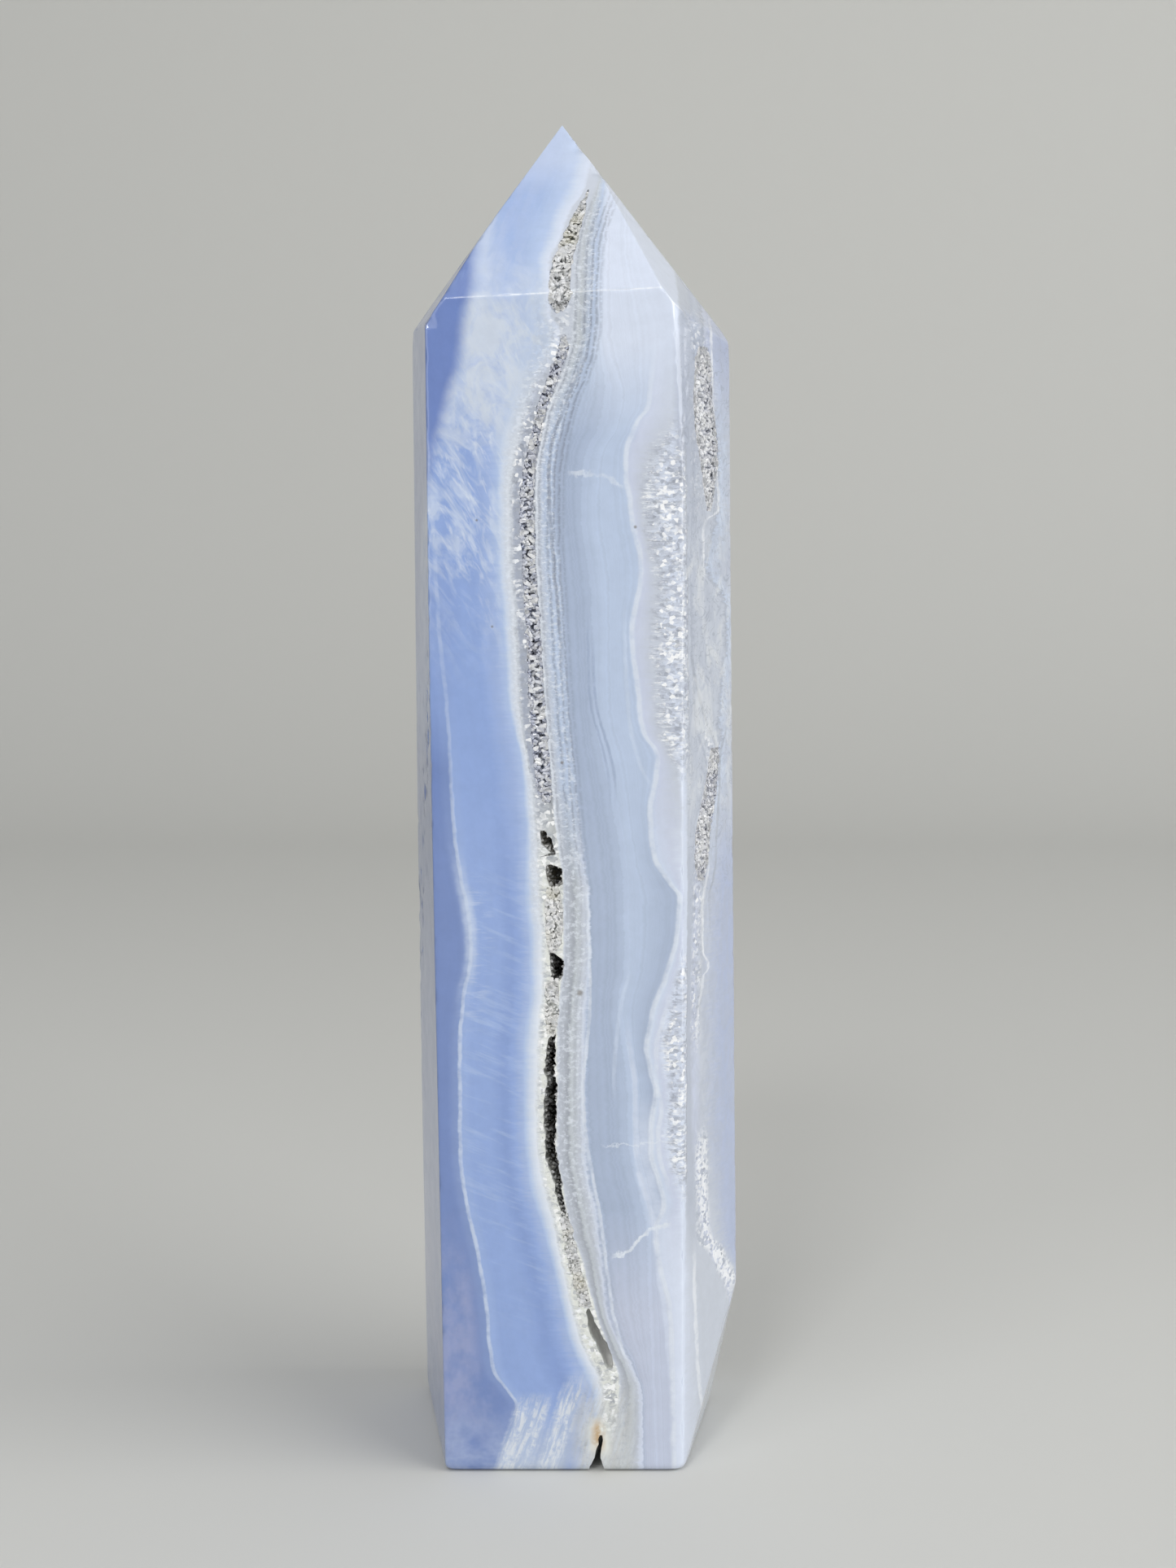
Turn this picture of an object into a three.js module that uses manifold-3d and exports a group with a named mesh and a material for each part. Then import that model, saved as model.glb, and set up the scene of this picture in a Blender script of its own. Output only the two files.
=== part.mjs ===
// Agate tower: a natural banded stone, ground to uneven flat sides and a pointed top.
// Its front and its right side open into hollows that are lined with quartz crystals.
// Millimetres, +Z up. The tower stands on z = 0 and its front face looks along -Y.
// The Z axis runs through the middle of its box.

import * as THREE from "three";
import { ConvexGeometry } from "three/addons/geometries/ConvexGeometry.js";
import { mergeVertices } from "three/addons/utils/BufferGeometryUtils.js";
import Module from "manifold-3d";

const wasm = await Module();
wasm.setup();

// Driving dimensions of the stone.

const HEIGHT = 105.2;
const TIP = new THREE.Vector3(-0.8, 0, HEIGHT);
const SHOULDER = 90;
const BASE_BEVEL = 0.5;
const BASE_BEVEL_LEAN = -45;

// A facet looks along its heading, in degrees from +X towards +Y, and leans in by degrees from upright.
// Its reach is its distance from the Z axis at the height given.
// The left side is ground in two flats that differ by half a degree.
// A third narrow flat eases the top of the front right edge.

const FRONT = { heading: -90, lean: 0.38, reach: 12.0, height: 0 };
const RIGHT = { heading: -30, lean: 0.35, reach: 13.48, height: 0 };

const SIDES = [
  FRONT,
  RIGHT,
  { heading: 13.4, lean: 0.9, reach: 12.26, height: 0 },
  { heading: 84.8, lean: 0.5, reach: 11.2, height: 0 },
  { heading: 139.4, lean: 0.4, reach: 14.5, height: 0 },
  { heading: -172, lean: -0.81, reach: 11.45, height: 0 },
];

const LEFT_UPPER = { heading: -172.6, lean: -0.29, reach: 11.9, height: 0 };
const RIGHT_EDGE_EASE = { heading: -45, lean: 3.1, reach: 13.47, height: SHOULDER };
const LOWER_RIGHT_CUT = { heading: -10, lean: -13.6, reach: 10.64, height: 0 };

// The facets of the point. Five of them meet at the tip, and the two lower ones stop short of it.

const POINT_FRONT = throughTip(-92.2, 38.3);
const POINT_FACETS = [
  POINT_FRONT,
  throughTip(-7.4, 38.0),
  throughTip(82, 39.0),
  throughTip(140, 38.0),
  throughTip(-171.6, 36.35),
  { heading: -169.8, lean: 33.4, reach: 11.75, height: SHOULDER },
  { heading: -21.8, lean: 36.7, reach: 11.39, height: SHOULDER },
];

// Driving dimensions of the hollows and of the crusts that line them.

const GAP = 0.3;
const RIM_RECESS = 0.12;
const MOUTH_OVERCUT = 2.5;

// A station of a hollow holds its height, its left and right edge across the facet, and its depth.

const TIP_POCKET = {
  name: "crystals_tip_pocket",
  facet: POINT_FRONT,
  drift: 0.0,
  hollow: [
    [99.4, 0.9, 1.6, 0.9],
    [98.6, 0.5, 1.6, 1.9],
    [97.3, -0.3, 1.5, 2.6],
    [95.6, -0.9, 1.1, 3.0],
    [93.6, -1.6, 0.8, 3.3],
    [91.4, -1.6, 0.8, 3.6],
    [89.8, -1.5, 0.8, 4.2],
    [88.5, -1.2, 0.4, 3.4],
  ],
  openings: [
    [
      [98.3, 0.8, 1.3, 0.7],
      [97.0, 0.1, 1.1, 0.9],
      [95.2, -0.5, 0.7, 1.1],
      [93.2, -1.1, 0.3, 1.2],
      [91.2, -1.2, 0.3, 1.4],
      [90.0, -1.1, 0.3, 2.1],
      [89.4, -0.8, 0.0, 2.2],
    ],
  ],
  floorCrystals: { pitch: 0.95, radius: 0.6, length: 0.85 },
};

const UPPER_SEAM = {
  name: "crystals_upper_seam",
  facet: FRONT,
  drift: 0.12,
  hollow: [
    [87.8, -1.0, 0.3, 1.6],
    [86.0, -1.8, 0.2, 2.6],
    [83.5, -2.8, -0.7, 3.0],
    [80.5, -3.7, -1.7, 3.2],
    [77.5, -4.2, -2.3, 3.4],
    [73.0, -4.3, -2.3, 3.4],
    [67.0, -4.0, -2.0, 3.4],
    [61.0, -3.7, -1.7, 3.4],
    [56.0, -3.3, -1.1, 3.2],
    [53.6, -3.0, -0.9, 2.6],
    [52.4, -2.6, -1.2, 1.4],
  ],
  openings: [
    [
      [86.6, -0.7, -0.4, 0.7],
      [85.5, -1.1, -0.6, 1.3],
      [83.2, -2.1, -1.5, 1.8],
      [80.5, -3.0, -2.4, 2.1],
      [77.5, -3.7, -2.8, 2.3],
      [73.0, -3.8, -2.8, 2.3],
      [67.0, -3.5, -2.5, 2.3],
      [61.0, -3.1, -2.2, 2.3],
      [56.0, -2.6, -1.7, 2.0],
      [53.4, -2.3, -1.6, 1.2],
    ],
  ],
  wallCrystals: { pitch: 1.3, rows: [0.35], radius: 0.5, length: 0.8 },
};

const LOWER_FISSURE = {
  name: "crystals_lower_fissure",
  facet: FRONT,
  drift: 0.1,
  hollow: [
    [51.3, -2.9, -1.3, 3.0],
    [50.0, -3.2, -0.6, 6.0],
    [46.5, -3.0, -0.1, 8.0],
    [42.0, -2.8, 0.0, 8.0],
    [37.0, -2.9, 0.1, 8.5],
    [31.0, -3.1, 0.0, 9.0],
    [26.0, -3.0, 0.1, 9.0],
    [21.0, -2.0, 0.7, 8.5],
    [17.0, -1.0, 1.5, 7.0],
    [13.0, 0.2, 2.8, 6.5],
    [9.5, 1.5, 3.8, 5.0],
    [7.4, 2.7, 4.0, 3.0],
  ],
  openings: [
    [
      [50.3, -2.4, -1.9, 3.5],
      [49.4, -2.3, -1.3, 4.5],
      [48.4, -1.7, -1.1, 3.5],
    ],
    [
      [47.8, -1.8, -1.0, 5.0],
      [46.6, -1.9, -0.8, 6.0],
      [45.5, -1.7, -1.4, 5.0],
    ],
    [
      [40.9, -1.8, -1.4, 5.0],
      [39.7, -1.8, -0.9, 6.5],
      [38.5, -1.6, -1.1, 5.0],
    ],
    [
      [34.8, -1.5, -1.3, 5.0],
      [33.0, -2.1, -1.2, 7.2],
      [30.5, -2.2, -1.2, 7.6],
      [27.5, -2.3, -1.2, 7.6],
      [25.0, -2.1, -1.1, 7.4],
      [23.0, -1.5, -0.7, 7.0],
      [20.1, -0.9, -0.4, 4.0],
    ],
    [
      [16.6, 0.0, 0.3, 1.0],
      [16.0, 0.1, 0.6, 1.6],
      [15.4, 0.2, 0.5, 1.0],
    ],
    [
      [13.4, 1.1, 1.5, 1.2],
      [11.6, 1.3, 2.3, 2.6],
      [9.8, 2.0, 2.9, 3.0],
      [8.5, 2.7, 3.2, 1.4],
    ],
  ],
  wallCrystals: { pitch: 1.3, rows: [0.2, 0.6], radius: 0.55, length: 0.85 },
};

const RIGHT_POCKET = {
  name: "crystals_right_pocket",
  facet: RIGHT,
  drift: 0.0,
  hollow: [
    [87.2, -2.9, -1.5, 1.2],
    [86.0, -3.8, -0.9, 2.2],
    [83.0, -4.2, -0.6, 2.4],
    [80.5, -3.9, 0.2, 2.4],
    [78.2, -3.0, 0.4, 2.4],
    [75.8, -2.4, -0.3, 2.2],
    [74.0, -1.8, -0.8, 1.2],
  ],
  openings: [
    [
      [86.6, -2.8, -1.7, 0.5],
      [85.6, -3.5, -1.2, 1.0],
      [83.0, -3.8, -1.0, 1.2],
      [80.5, -3.5, -0.2, 1.2],
      [78.2, -2.6, 0.0, 1.2],
      [76.0, -2.0, -0.7, 1.0],
      [74.8, -1.6, -1.0, 0.5],
    ],
  ],
  floorCrystals: { pitch: 1.2, radius: 0.7, length: 0.9 },
};

const RIGHT_SEAM = {
  name: "crystals_right_seam",
  facet: RIGHT,
  drift: 0.0,
  hollow: [
    [56.6, -1.4, 0.6, 1.0],
    [54.6, -1.9, 0.4, 1.8],
    [52.4, -2.9, -0.1, 2.0],
    [49.8, -4.0, -1.0, 2.0],
    [47.2, -4.1, -1.4, 1.8],
    [45.8, -3.4, -2.0, 1.0],
  ],
  openings: [
    [
      [56.0, -1.1, 0.2, 0.4],
      [54.4, -1.5, 0.0, 0.9],
      [52.2, -2.5, -0.5, 1.0],
      [49.8, -3.6, -1.4, 1.0],
      [47.4, -3.7, -1.8, 0.9],
      [46.3, -3.2, -2.3, 0.4],
    ],
  ],
  floorCrystals: { pitch: 1.15, radius: 0.6, length: 0.75 },
};

const HOLLOWS = [TIP_POCKET, UPPER_SEAM, LOWER_FISSURE, RIGHT_POCKET, RIGHT_SEAM];

// The open crack at the foot of the front face, from where it closes down to below the base.

const BASE_CRACK = {
  facet: FRONT,
  drift: 0.15,
  stations: [
    [3.0, 2.15, 2.3, 1.2],
    [1.3, 1.75, 2.15, 3.5],
    [0.9, 1.5, 2.3, 4.5],
    [0.0, 1.2, 2.6, 6.0],
    [-1.0, 1.0, 2.9, 6.5],
  ],
};

// Half of a hollow's section, as shares of its half width and its depth, from the mouth inwards.

const SECTION = [
  [1, 0.12],
  [0.9, 0.55],
  [0.5, 0.92],
];

// Crystals. A root lies this deep in the crust, and a wall stands back by the room that its crystals take.
// On a wall, no crystal reaches further than a share of the opening's width.
// The spreads are the shares by which places, sizes and directions differ.

const CRYSTAL_SIDES = 6;
const CRYSTAL_ROOT = 0.5;
const CRYSTAL_REACH = 0.3;
const CRYSTAL_ROOM = 0.12;
const FLOOR_LEVEL = 0.95;
const OUTWARD_AIM = 0.4;
const PLACE_SPREAD = 0.25;
const SIZE_SPREAD = 0.3;
const AIM_SPREAD = 0.4;
const RANDOM_SEED = 20;

// Slacks for the sums on planes and corners.

const PARALLEL = 1e-6;
const ON_PLANE = 1e-4;
const SAME_CORNER = 1e-2;
const SAME_VERTEX = 1e-4;

// A facet through the tip, stated like the others.
function throughTip(heading, lean) {
  const angle = THREE.MathUtils.degToRad(heading);
  const reach = TIP.x * Math.cos(angle) + TIP.y * Math.sin(angle);
  return { heading, lean, reach, height: HEIGHT };
}

// The plane of a facet, with its normal pointing out of the stone.
function planeOf({ heading, lean, reach, height }) {
  const turn = THREE.MathUtils.degToRad(heading);
  const tilt = THREE.MathUtils.degToRad(lean);
  const normal = new THREE.Vector3(
    Math.cos(turn) * Math.cos(tilt),
    Math.sin(turn) * Math.cos(tilt),
    Math.sin(tilt),
  );
  const point = new THREE.Vector3(reach * Math.cos(turn), reach * Math.sin(turn), height);
  return new THREE.Plane().setFromNormalAndCoplanarPoint(normal, point);
}

// How far out a facet lies at any height.
function reachAt({ lean, reach, height }, level) {
  return reach - Math.tan(THREE.MathUtils.degToRad(lean)) * (level - height);
}

// The point where three planes meet, or null where two of them are parallel.
function meetingPoint(a, b, c) {
  const bc = new THREE.Vector3().crossVectors(b.normal, c.normal);
  const share = a.normal.dot(bc);
  if (Math.abs(share) < PARALLEL) return null;
  const ca = new THREE.Vector3().crossVectors(c.normal, a.normal);
  const ab = new THREE.Vector3().crossVectors(a.normal, b.normal);
  return bc
    .multiplyScalar(-a.constant)
    .addScaledVector(ca, -b.constant)
    .addScaledVector(ab, -c.constant)
    .divideScalar(share);
}

// The corners of the solid that lies behind all the planes.
function cornersBehind(planes) {
  const corners = [];
  for (let i = 0; i < planes.length; i++) {
    for (let j = i + 1; j < planes.length; j++) {
      for (let k = j + 1; k < planes.length; k++) {
        const corner = meetingPoint(planes[i], planes[j], planes[k]);
        if (!corner) continue;
        if (planes.some((plane) => plane.distanceToPoint(corner) > ON_PLANE)) continue;
        if (corners.some((other) => other.distanceTo(corner) < SAME_CORNER)) continue;
        corners.push(corner);
      }
    }
  }
  return corners;
}

function toManifold(geometry) {
  const bare = geometry.clone();
  bare.deleteAttribute("normal");
  bare.deleteAttribute("uv");
  const merged = mergeVertices(bare, SAME_VERTEX);
  return new wasm.Manifold(
    new wasm.Mesh({
      numProp: 3,
      vertProperties: new Float32Array(merged.attributes.position.array),
      triVerts: new Uint32Array(merged.index.array),
    }),
  );
}

function toGeometry(solid) {
  const mesh = solid.getMesh();
  const geometry = new THREE.BufferGeometry();
  geometry.setAttribute("position", new THREE.BufferAttribute(mesh.vertProperties, 3));
  geometry.setIndex(new THREE.BufferAttribute(mesh.triVerts, 1));
  const flat = geometry.toNonIndexed();
  flat.computeVertexNormals();
  return flat;
}

// Numbers between -1 and 1 that come out the same each time.
function makeRandom(seed) {
  let state = seed;
  return () => {
    state = (state * 1664525 + 1013904223) % 4294967296;
    return (state / 4294967296) * 2 - 1;
  };
}

const random = makeRandom(RANDOM_SEED);

// The stone before anything is cut into it. The inset moves every facet inwards.
function stoneSolid(inset) {
  const facets = [...SIDES, LEFT_UPPER, RIGHT_EDGE_EASE, LOWER_RIGHT_CUT, ...POINT_FACETS];
  const planes = facets.map(planeOf);
  const floor = new THREE.Plane(new THREE.Vector3(0, 0, -1), 0);
  planes.push(floor);
  for (const side of SIDES) {
    const reach = reachAt(side, BASE_BEVEL);
    planes.push(planeOf({ heading: side.heading, lean: BASE_BEVEL_LEAN, reach, height: BASE_BEVEL }));
  }
  for (const plane of planes) plane.constant += inset;
  return toManifold(new ConvexGeometry(cornersBehind(planes)));
}

// A place on a facet: its height, how far across it lies, and how deep below the surface.
function placeOn(facet, height, across, depth) {
  const turn = THREE.MathUtils.degToRad(facet.heading);
  const out = reachAt(facet, height) - depth;
  return new THREE.Vector3(
    out * Math.cos(turn) - across * Math.sin(turn),
    out * Math.sin(turn) + across * Math.cos(turn),
    height,
  );
}

// The section of a hollow: straight at its mouth, then drawn together to a narrow round end.
function sectionAt(facet, [height, left, right, depth], mouth, drift, shrink) {
  const middle = (left + right) / 2;
  const half = (right - left) / 2 - shrink;
  const deep = depth - shrink;
  const wall = SECTION.map(([share, down]) => [share, down * deep]);
  const opposite = wall.map(([share, down]) => [-share, down]).reverse();
  const section = [[1, mouth], ...wall, [0, deep], ...opposite, [-1, mouth]];
  return section.map(([share, down]) =>
    placeOn(facet, height, middle + share * half + drift * Math.max(down, 0), down),
  );
}

// A closed solid through a stack of sections that have the same number of points.
function loft(sections) {
  const count = sections[0].length;
  const positions = sections.flat().flatMap((point) => point.toArray());
  const indices = [];
  for (let level = 0; level + 1 < sections.length; level++) {
    for (let i = 0; i < count; i++) {
      const next = (i + 1) % count;
      const a = level * count + i;
      const b = level * count + next;
      const c = a + count;
      const d = b + count;
      indices.push(a, c, b, b, c, d);
    }
  }
  const last = (sections.length - 1) * count;
  for (let i = 1; i + 1 < count; i++) {
    indices.push(0, i, i + 1);
    indices.push(last, last + i + 1, last + i);
  }
  const geometry = new THREE.BufferGeometry();
  geometry.setAttribute("position", new THREE.Float32BufferAttribute(positions, 3));
  geometry.setIndex(indices);
  return toManifold(geometry);
}

function hollowSolid(facet, stations, mouth, drift, shrink) {
  return loft(stations.map((station) => sectionAt(facet, station, mouth, drift, shrink)));
}

// One quartz crystal: the six-sided point that shows, rooted in the crust behind it.
function crystal(root, direction, radius, length) {
  const height = length + CRYSTAL_ROOT;
  const shape = new THREE.ConeGeometry(radius, height, CRYSTAL_SIDES, 1);
  shape.translate(0, height / 2, 0);
  const up = new THREE.Vector3(0, 1, 0);
  const aim = direction.clone().normalize();
  const turn = new THREE.Quaternion().setFromAxisAngle(up, random() * Math.PI);
  const swing = new THREE.Quaternion().setFromUnitVectors(up, aim);
  shape.applyQuaternion(turn);
  shape.applyQuaternion(swing);
  const start = root.clone().addScaledVector(aim, -CRYSTAL_ROOT);
  shape.translate(start.x, start.y, start.z);
  return toManifold(shape);
}

// The measures of a row of stations at a height between them.
function stationAt(stations, height) {
  for (let i = 0; i + 1 < stations.length; i++) {
    const upper = stations[i];
    const lower = stations[i + 1];
    if (height <= upper[0] && height >= lower[0]) {
      const share = (upper[0] - height) / (upper[0] - lower[0]);
      return upper.map((value, index) => THREE.MathUtils.lerp(value, lower[index], share));
    }
  }
  return null;
}

// Crystals on both walls of an opening, pointing across it.
function crystalsOnWalls(facet, stations, drift, { pitch, rows, radius, length }) {
  const crystals = [];
  const top = stations[0][0];
  const bottom = stations[stations.length - 1][0];
  for (let height = top - pitch / 2; height > bottom; height -= pitch) {
    for (const side of [-1, 1]) {
      for (const row of rows) {
        const level = height + random() * pitch * PLACE_SPREAD;
        const station = stationAt(stations, THREE.MathUtils.clamp(level, bottom, top));
        const [, left, right, depth] = station;
        const down = depth * row;
        const wall = side < 0 ? left - CRYSTAL_ROOM : right + CRYSTAL_ROOM;
        const across = wall + drift * down;
        const root = placeOn(facet, level, across, down);
        const aim = down + (random() - 1) * OUTWARD_AIM;
        const ahead = placeOn(facet, level + random() * AIM_SPREAD, across - side, aim);
        const size = 1 + random() * SIZE_SPREAD;
        const free = (right - left) * CRYSTAL_REACH;
        crystals.push(crystal(root, ahead.sub(root), radius * size, Math.min(length * size, free)));
      }
    }
  }
  return crystals;
}

// Crystals on the floor of a shallow opening, pointing out of it.
function crystalsOnFloor(facet, stations, { pitch, radius, length }) {
  const crystals = [];
  const top = stations[0][0];
  const bottom = stations[stations.length - 1][0];
  for (let height = top - pitch / 2; height > bottom; height -= pitch) {
    const [, left, right, depth] = stationAt(stations, height);
    const count = Math.max(1, Math.round((right - left) / pitch));
    for (let i = 0; i < count; i++) {
      const middle = left + ((i + 0.5) / count) * (right - left);
      const across = middle + random() * pitch * PLACE_SPREAD;
      const down = depth * FLOOR_LEVEL;
      const root = placeOn(facet, height + random() * pitch * PLACE_SPREAD, across, down);
      const lean = random() * AIM_SPREAD;
      const ahead = placeOn(facet, root.z + random() * AIM_SPREAD, across + lean, down - 1);
      const size = 1 + random() * SIZE_SPREAD;
      crystals.push(crystal(root, ahead.sub(root), radius * size, length * size));
    }
  }
  return crystals;
}

// The crust of one hollow: its filling, opened along the middle, with crystals grown into the opening.
function crustSolid({ facet, hollow, openings, drift, wallCrystals, floorCrystals }, outline) {
  const inner = hollow.map((station) => [...station]);
  inner[0][0] -= GAP;
  inner.at(-1)[0] += GAP;
  const filling = hollowSolid(facet, inner, -MOUTH_OVERCUT / 2, drift, GAP).intersect(outline);
  let crust = filling;
  for (const stations of openings) {
    crust = crust.subtract(hollowSolid(facet, stations, -MOUTH_OVERCUT, drift, -CRYSTAL_ROOM));
  }
  for (const stations of openings) {
    const grown = [];
    if (wallCrystals) grown.push(...crystalsOnWalls(facet, stations, drift, wallCrystals));
    if (floorCrystals) grown.push(...crystalsOnFloor(facet, stations, floorCrystals));
    for (const piece of grown) crust = crust.add(piece);
  }
  return crust.intersect(filling);
}

// Materials.

const agate = new THREE.MeshStandardMaterial({ color: 0x9db1de, roughness: 0.12, metalness: 0 });
const quartz = new THREE.MeshStandardMaterial({ color: 0xe6e7dd, roughness: 0.35, metalness: 0 });

function addPiece(group, name, solid, material) {
  const mesh = new THREE.Mesh(toGeometry(solid), material.clone());
  mesh.name = name;
  group.add(mesh);
}

// The tower.

const tower = new THREE.Group();
const outline = stoneSolid(RIM_RECESS);
let stone = stoneSolid(0);
for (const { facet, hollow, drift } of HOLLOWS) {
  stone = stone.subtract(hollowSolid(facet, hollow, -MOUTH_OVERCUT, drift, 0));
}
const { facet: crackFacet, stations: crackStations, drift: crackDrift } = BASE_CRACK;
stone = stone.subtract(hollowSolid(crackFacet, crackStations, -MOUTH_OVERCUT, crackDrift, 0));
addPiece(tower, "agate_tower", stone, agate);
for (const entry of HOLLOWS) addPiece(tower, entry.name, crustSolid(entry, outline), quartz);

const box = new THREE.Box3().setFromObject(tower);
const middle = box.getCenter(new THREE.Vector3());
tower.position.set(-middle.x, -middle.y, 0);

export default tower;
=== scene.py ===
# %% [markdown]
# # A tower of banded blue agate
#
# This lesson dresses the solids of a small agate tower: a natural stone, ground to flat sides
# and a point, polished, and left open where hollows full of quartz crystals reach its surface.
# All lengths are written in millimetres and turned to metres when a mesh is made.

# %% Load the solids
import math

import bmesh
import bpy
import numpy as np
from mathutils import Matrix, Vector, noise


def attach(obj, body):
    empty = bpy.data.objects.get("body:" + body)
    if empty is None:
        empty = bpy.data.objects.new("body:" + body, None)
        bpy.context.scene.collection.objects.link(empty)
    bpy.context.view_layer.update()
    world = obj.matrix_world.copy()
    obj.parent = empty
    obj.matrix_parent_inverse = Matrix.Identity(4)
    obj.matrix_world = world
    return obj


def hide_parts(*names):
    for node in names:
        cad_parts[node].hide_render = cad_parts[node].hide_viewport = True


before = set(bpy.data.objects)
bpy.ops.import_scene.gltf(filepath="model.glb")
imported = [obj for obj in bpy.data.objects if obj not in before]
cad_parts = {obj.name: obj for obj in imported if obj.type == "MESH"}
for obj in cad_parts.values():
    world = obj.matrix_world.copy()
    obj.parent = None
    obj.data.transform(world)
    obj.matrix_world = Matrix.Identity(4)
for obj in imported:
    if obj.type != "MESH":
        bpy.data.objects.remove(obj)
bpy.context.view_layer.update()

MM = 0.001

# %% [markdown]
# ## Camera
#
# The camera stands in front of the wide face, a little above its middle, and looks down by five
# degrees. Its distance and lens came from fitting the corners of the solid to where they are seen.

# %% Camera
IMAGE_HEIGHT = 1927
FOCAL_PIXELS = 2844
SENSOR = 36.0
CAMERA_PLACE = (1.211, -187.02, 69.2)
CAMERA_PITCH = 5.0

lens = bpy.data.cameras.new("camera")
lens.sensor_width = SENSOR
lens.lens = SENSOR * FOCAL_PIXELS / IMAGE_HEIGHT
lens.clip_start = 0.005
camera = bpy.data.objects.new("camera", lens)
camera.location = Vector(CAMERA_PLACE) * MM
camera.rotation_euler = (math.radians(90 - CAMERA_PITCH), 0, 0)
bpy.context.scene.collection.objects.link(camera)
bpy.context.scene.camera = camera
print("lens:", round(lens.lens, 2), "mm")

# %% [markdown]
# ## Small helpers
#
# Colours are given as sRGB hex values, and shaders want linear light, so one function
# turns the one into the other. A second function adds any node with its settings and its links.


# %% Helpers
def linear(hex_colour):
    """The linear colour of an sRGB hex value such as "8EA4D3"."""
    channels = [int(hex_colour[i : i + 2], 16) / 255 for i in (0, 2, 4)]
    bent = [c / 12.92 if c <= 0.04045 else ((c + 0.055) / 1.055) ** 2.4 for c in channels]
    return (*bent, 1.0)


def add(tree, kind, feeds=None, **settings):
    """Adds a node. Feeds maps its inputs, by name or number, to values, sockets or other nodes."""
    made = tree.nodes.new(kind)
    for name, value in settings.items():
        setattr(made, name, value)
    for key, value in (feeds or {}).items():
        sockets = [s for s in made.inputs if s.enabled]
        socket = sockets[key] if isinstance(key, int) else next(s for s in sockets if s.name == key)
        if isinstance(value, bpy.types.Node):
            value = next(s for s in value.outputs if s.enabled)
        if isinstance(value, bpy.types.NodeSocket):
            tree.links.new(value, socket)
        else:
            socket.default_value = value
    return made


def show(name, mesh):
    """Puts a mesh into the scene as an object at the origin."""
    made = bpy.data.objects.new(name, mesh)
    bpy.context.scene.collection.objects.link(made)
    return made


# %% [markdown]
# ## Floor and light
#
# A pale sweep runs from the floor up into a backdrop, so that no line crosses the picture.
# A wide strong light stands on the right, a weaker one in front on the left and a faint one above.
# Together they give the stone its even, slightly hazy look, with the right face the brightest.
# A small lamp adds the glints on the crystals.

# %% Floor and backdrop
# in metres, because the sweep is so much larger than the stone
SWEEP_FRONT = -0.6
SWEEP_BACK = 0.42
SWEEP_RADIUS = 0.25
SWEEP_HEIGHT = 0.9
SWEEP_HALF_WIDTH = 0.9
SWEEP_STEPS = 16

profile = [(SWEEP_FRONT, 0.0), (SWEEP_BACK, 0.0)]
for step in range(1, SWEEP_STEPS + 1):
    turn = math.radians(90 * step / SWEEP_STEPS)
    profile.append(
        (SWEEP_BACK + SWEEP_RADIUS * math.sin(turn), SWEEP_RADIUS * (1 - math.cos(turn)))
    )
profile.append((SWEEP_BACK + SWEEP_RADIUS, SWEEP_HEIGHT))
sweep_points = [(side * SWEEP_HALF_WIDTH, y, z) for y, z in profile for side in (-1, 1)]
sweep_faces = [(2 * i, 2 * i + 1, 2 * i + 3, 2 * i + 2) for i in range(len(profile) - 1)]
sweep_mesh = bpy.data.meshes.new("sweep")
sweep_mesh.from_pydata(sweep_points, [], sweep_faces)
sweep_mesh.shade_smooth()
sweep = show("sweep", sweep_mesh)

# matt paper scatters all light evenly, so the floor shows soft shade and no reflection
paper = bpy.data.materials.new("matt_paper")
paper.use_nodes = True
paper_surface = paper.node_tree.nodes["Principled BSDF"]
paper_surface.inputs["Base Color"].default_value = linear("DADAD6")
paper_surface.inputs["Roughness"].default_value = 0.9
sweep_mesh.materials.append(paper)
print("sweep:", len(sweep_faces), "faces")

# %% Lights
LIGHTS = [
    # name, place, aim and width in metres, power in watts
    ("sky_panel", (0.0, -0.2, 0.8), (0, 0, 0.05), 0.6, 0.7),
    ("front_left_panel", (-0.35, -0.65, 0.3), (0, 0, 0.05), 0.5, 1.5),
    ("right_panel", (0.7, -0.36, 0.3), (0, 0, 0.05), 0.9, 6.2),
    ("glint_lamp", (-0.12, -0.5, 0.47), (0, 0, 0.05), 0.12, 0.7),
]
ROOM_LIGHT = 0.45

for name, place, aim, width, power in LIGHTS:
    lamp = bpy.data.lights.new(name, "AREA")
    lamp.size = width
    lamp.energy = power
    holder = bpy.data.objects.new(name, lamp)
    holder.location = place
    holder.rotation_euler = (Vector(aim) - Vector(place)).to_track_quat("-Z", "Y").to_euler()
    bpy.context.scene.collection.objects.link(holder)

world = bpy.data.worlds.new("grey_room")
bpy.context.scene.world = world
world.use_nodes = True
surroundings = world.node_tree.nodes["Background"]
surroundings.inputs["Color"].default_value = linear("C9CACB")
surroundings.inputs["Strength"].default_value = ROOM_LIGHT
bpy.context.scene.view_settings.view_transform = "Standard"
print("lights:", len(LIGHTS))

# %% [markdown]
# ## Grinding the stone
#
# The real stone was ground flat by flat against a wheel. The same can be done here: a block is
# cut by one plane after the other, and what lies outside each plane goes. A facet looks along
# its heading, in degrees from +X towards +Y, leans in by degrees from upright, and its reach is
# its distance from the Z axis at the height given. It could also be a hull round corner points,
# but the planes are needed again afterwards, to round the edges.

# %% The facets
HEIGHT = 105.2
TIP = Vector((-0.8, 0.0, HEIGHT))
MIDDLE = Vector((-0.039, -0.022, 0.0))  # the part's frame stands this far beside the facets' axis
BASE_BEVEL = 0.35

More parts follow.
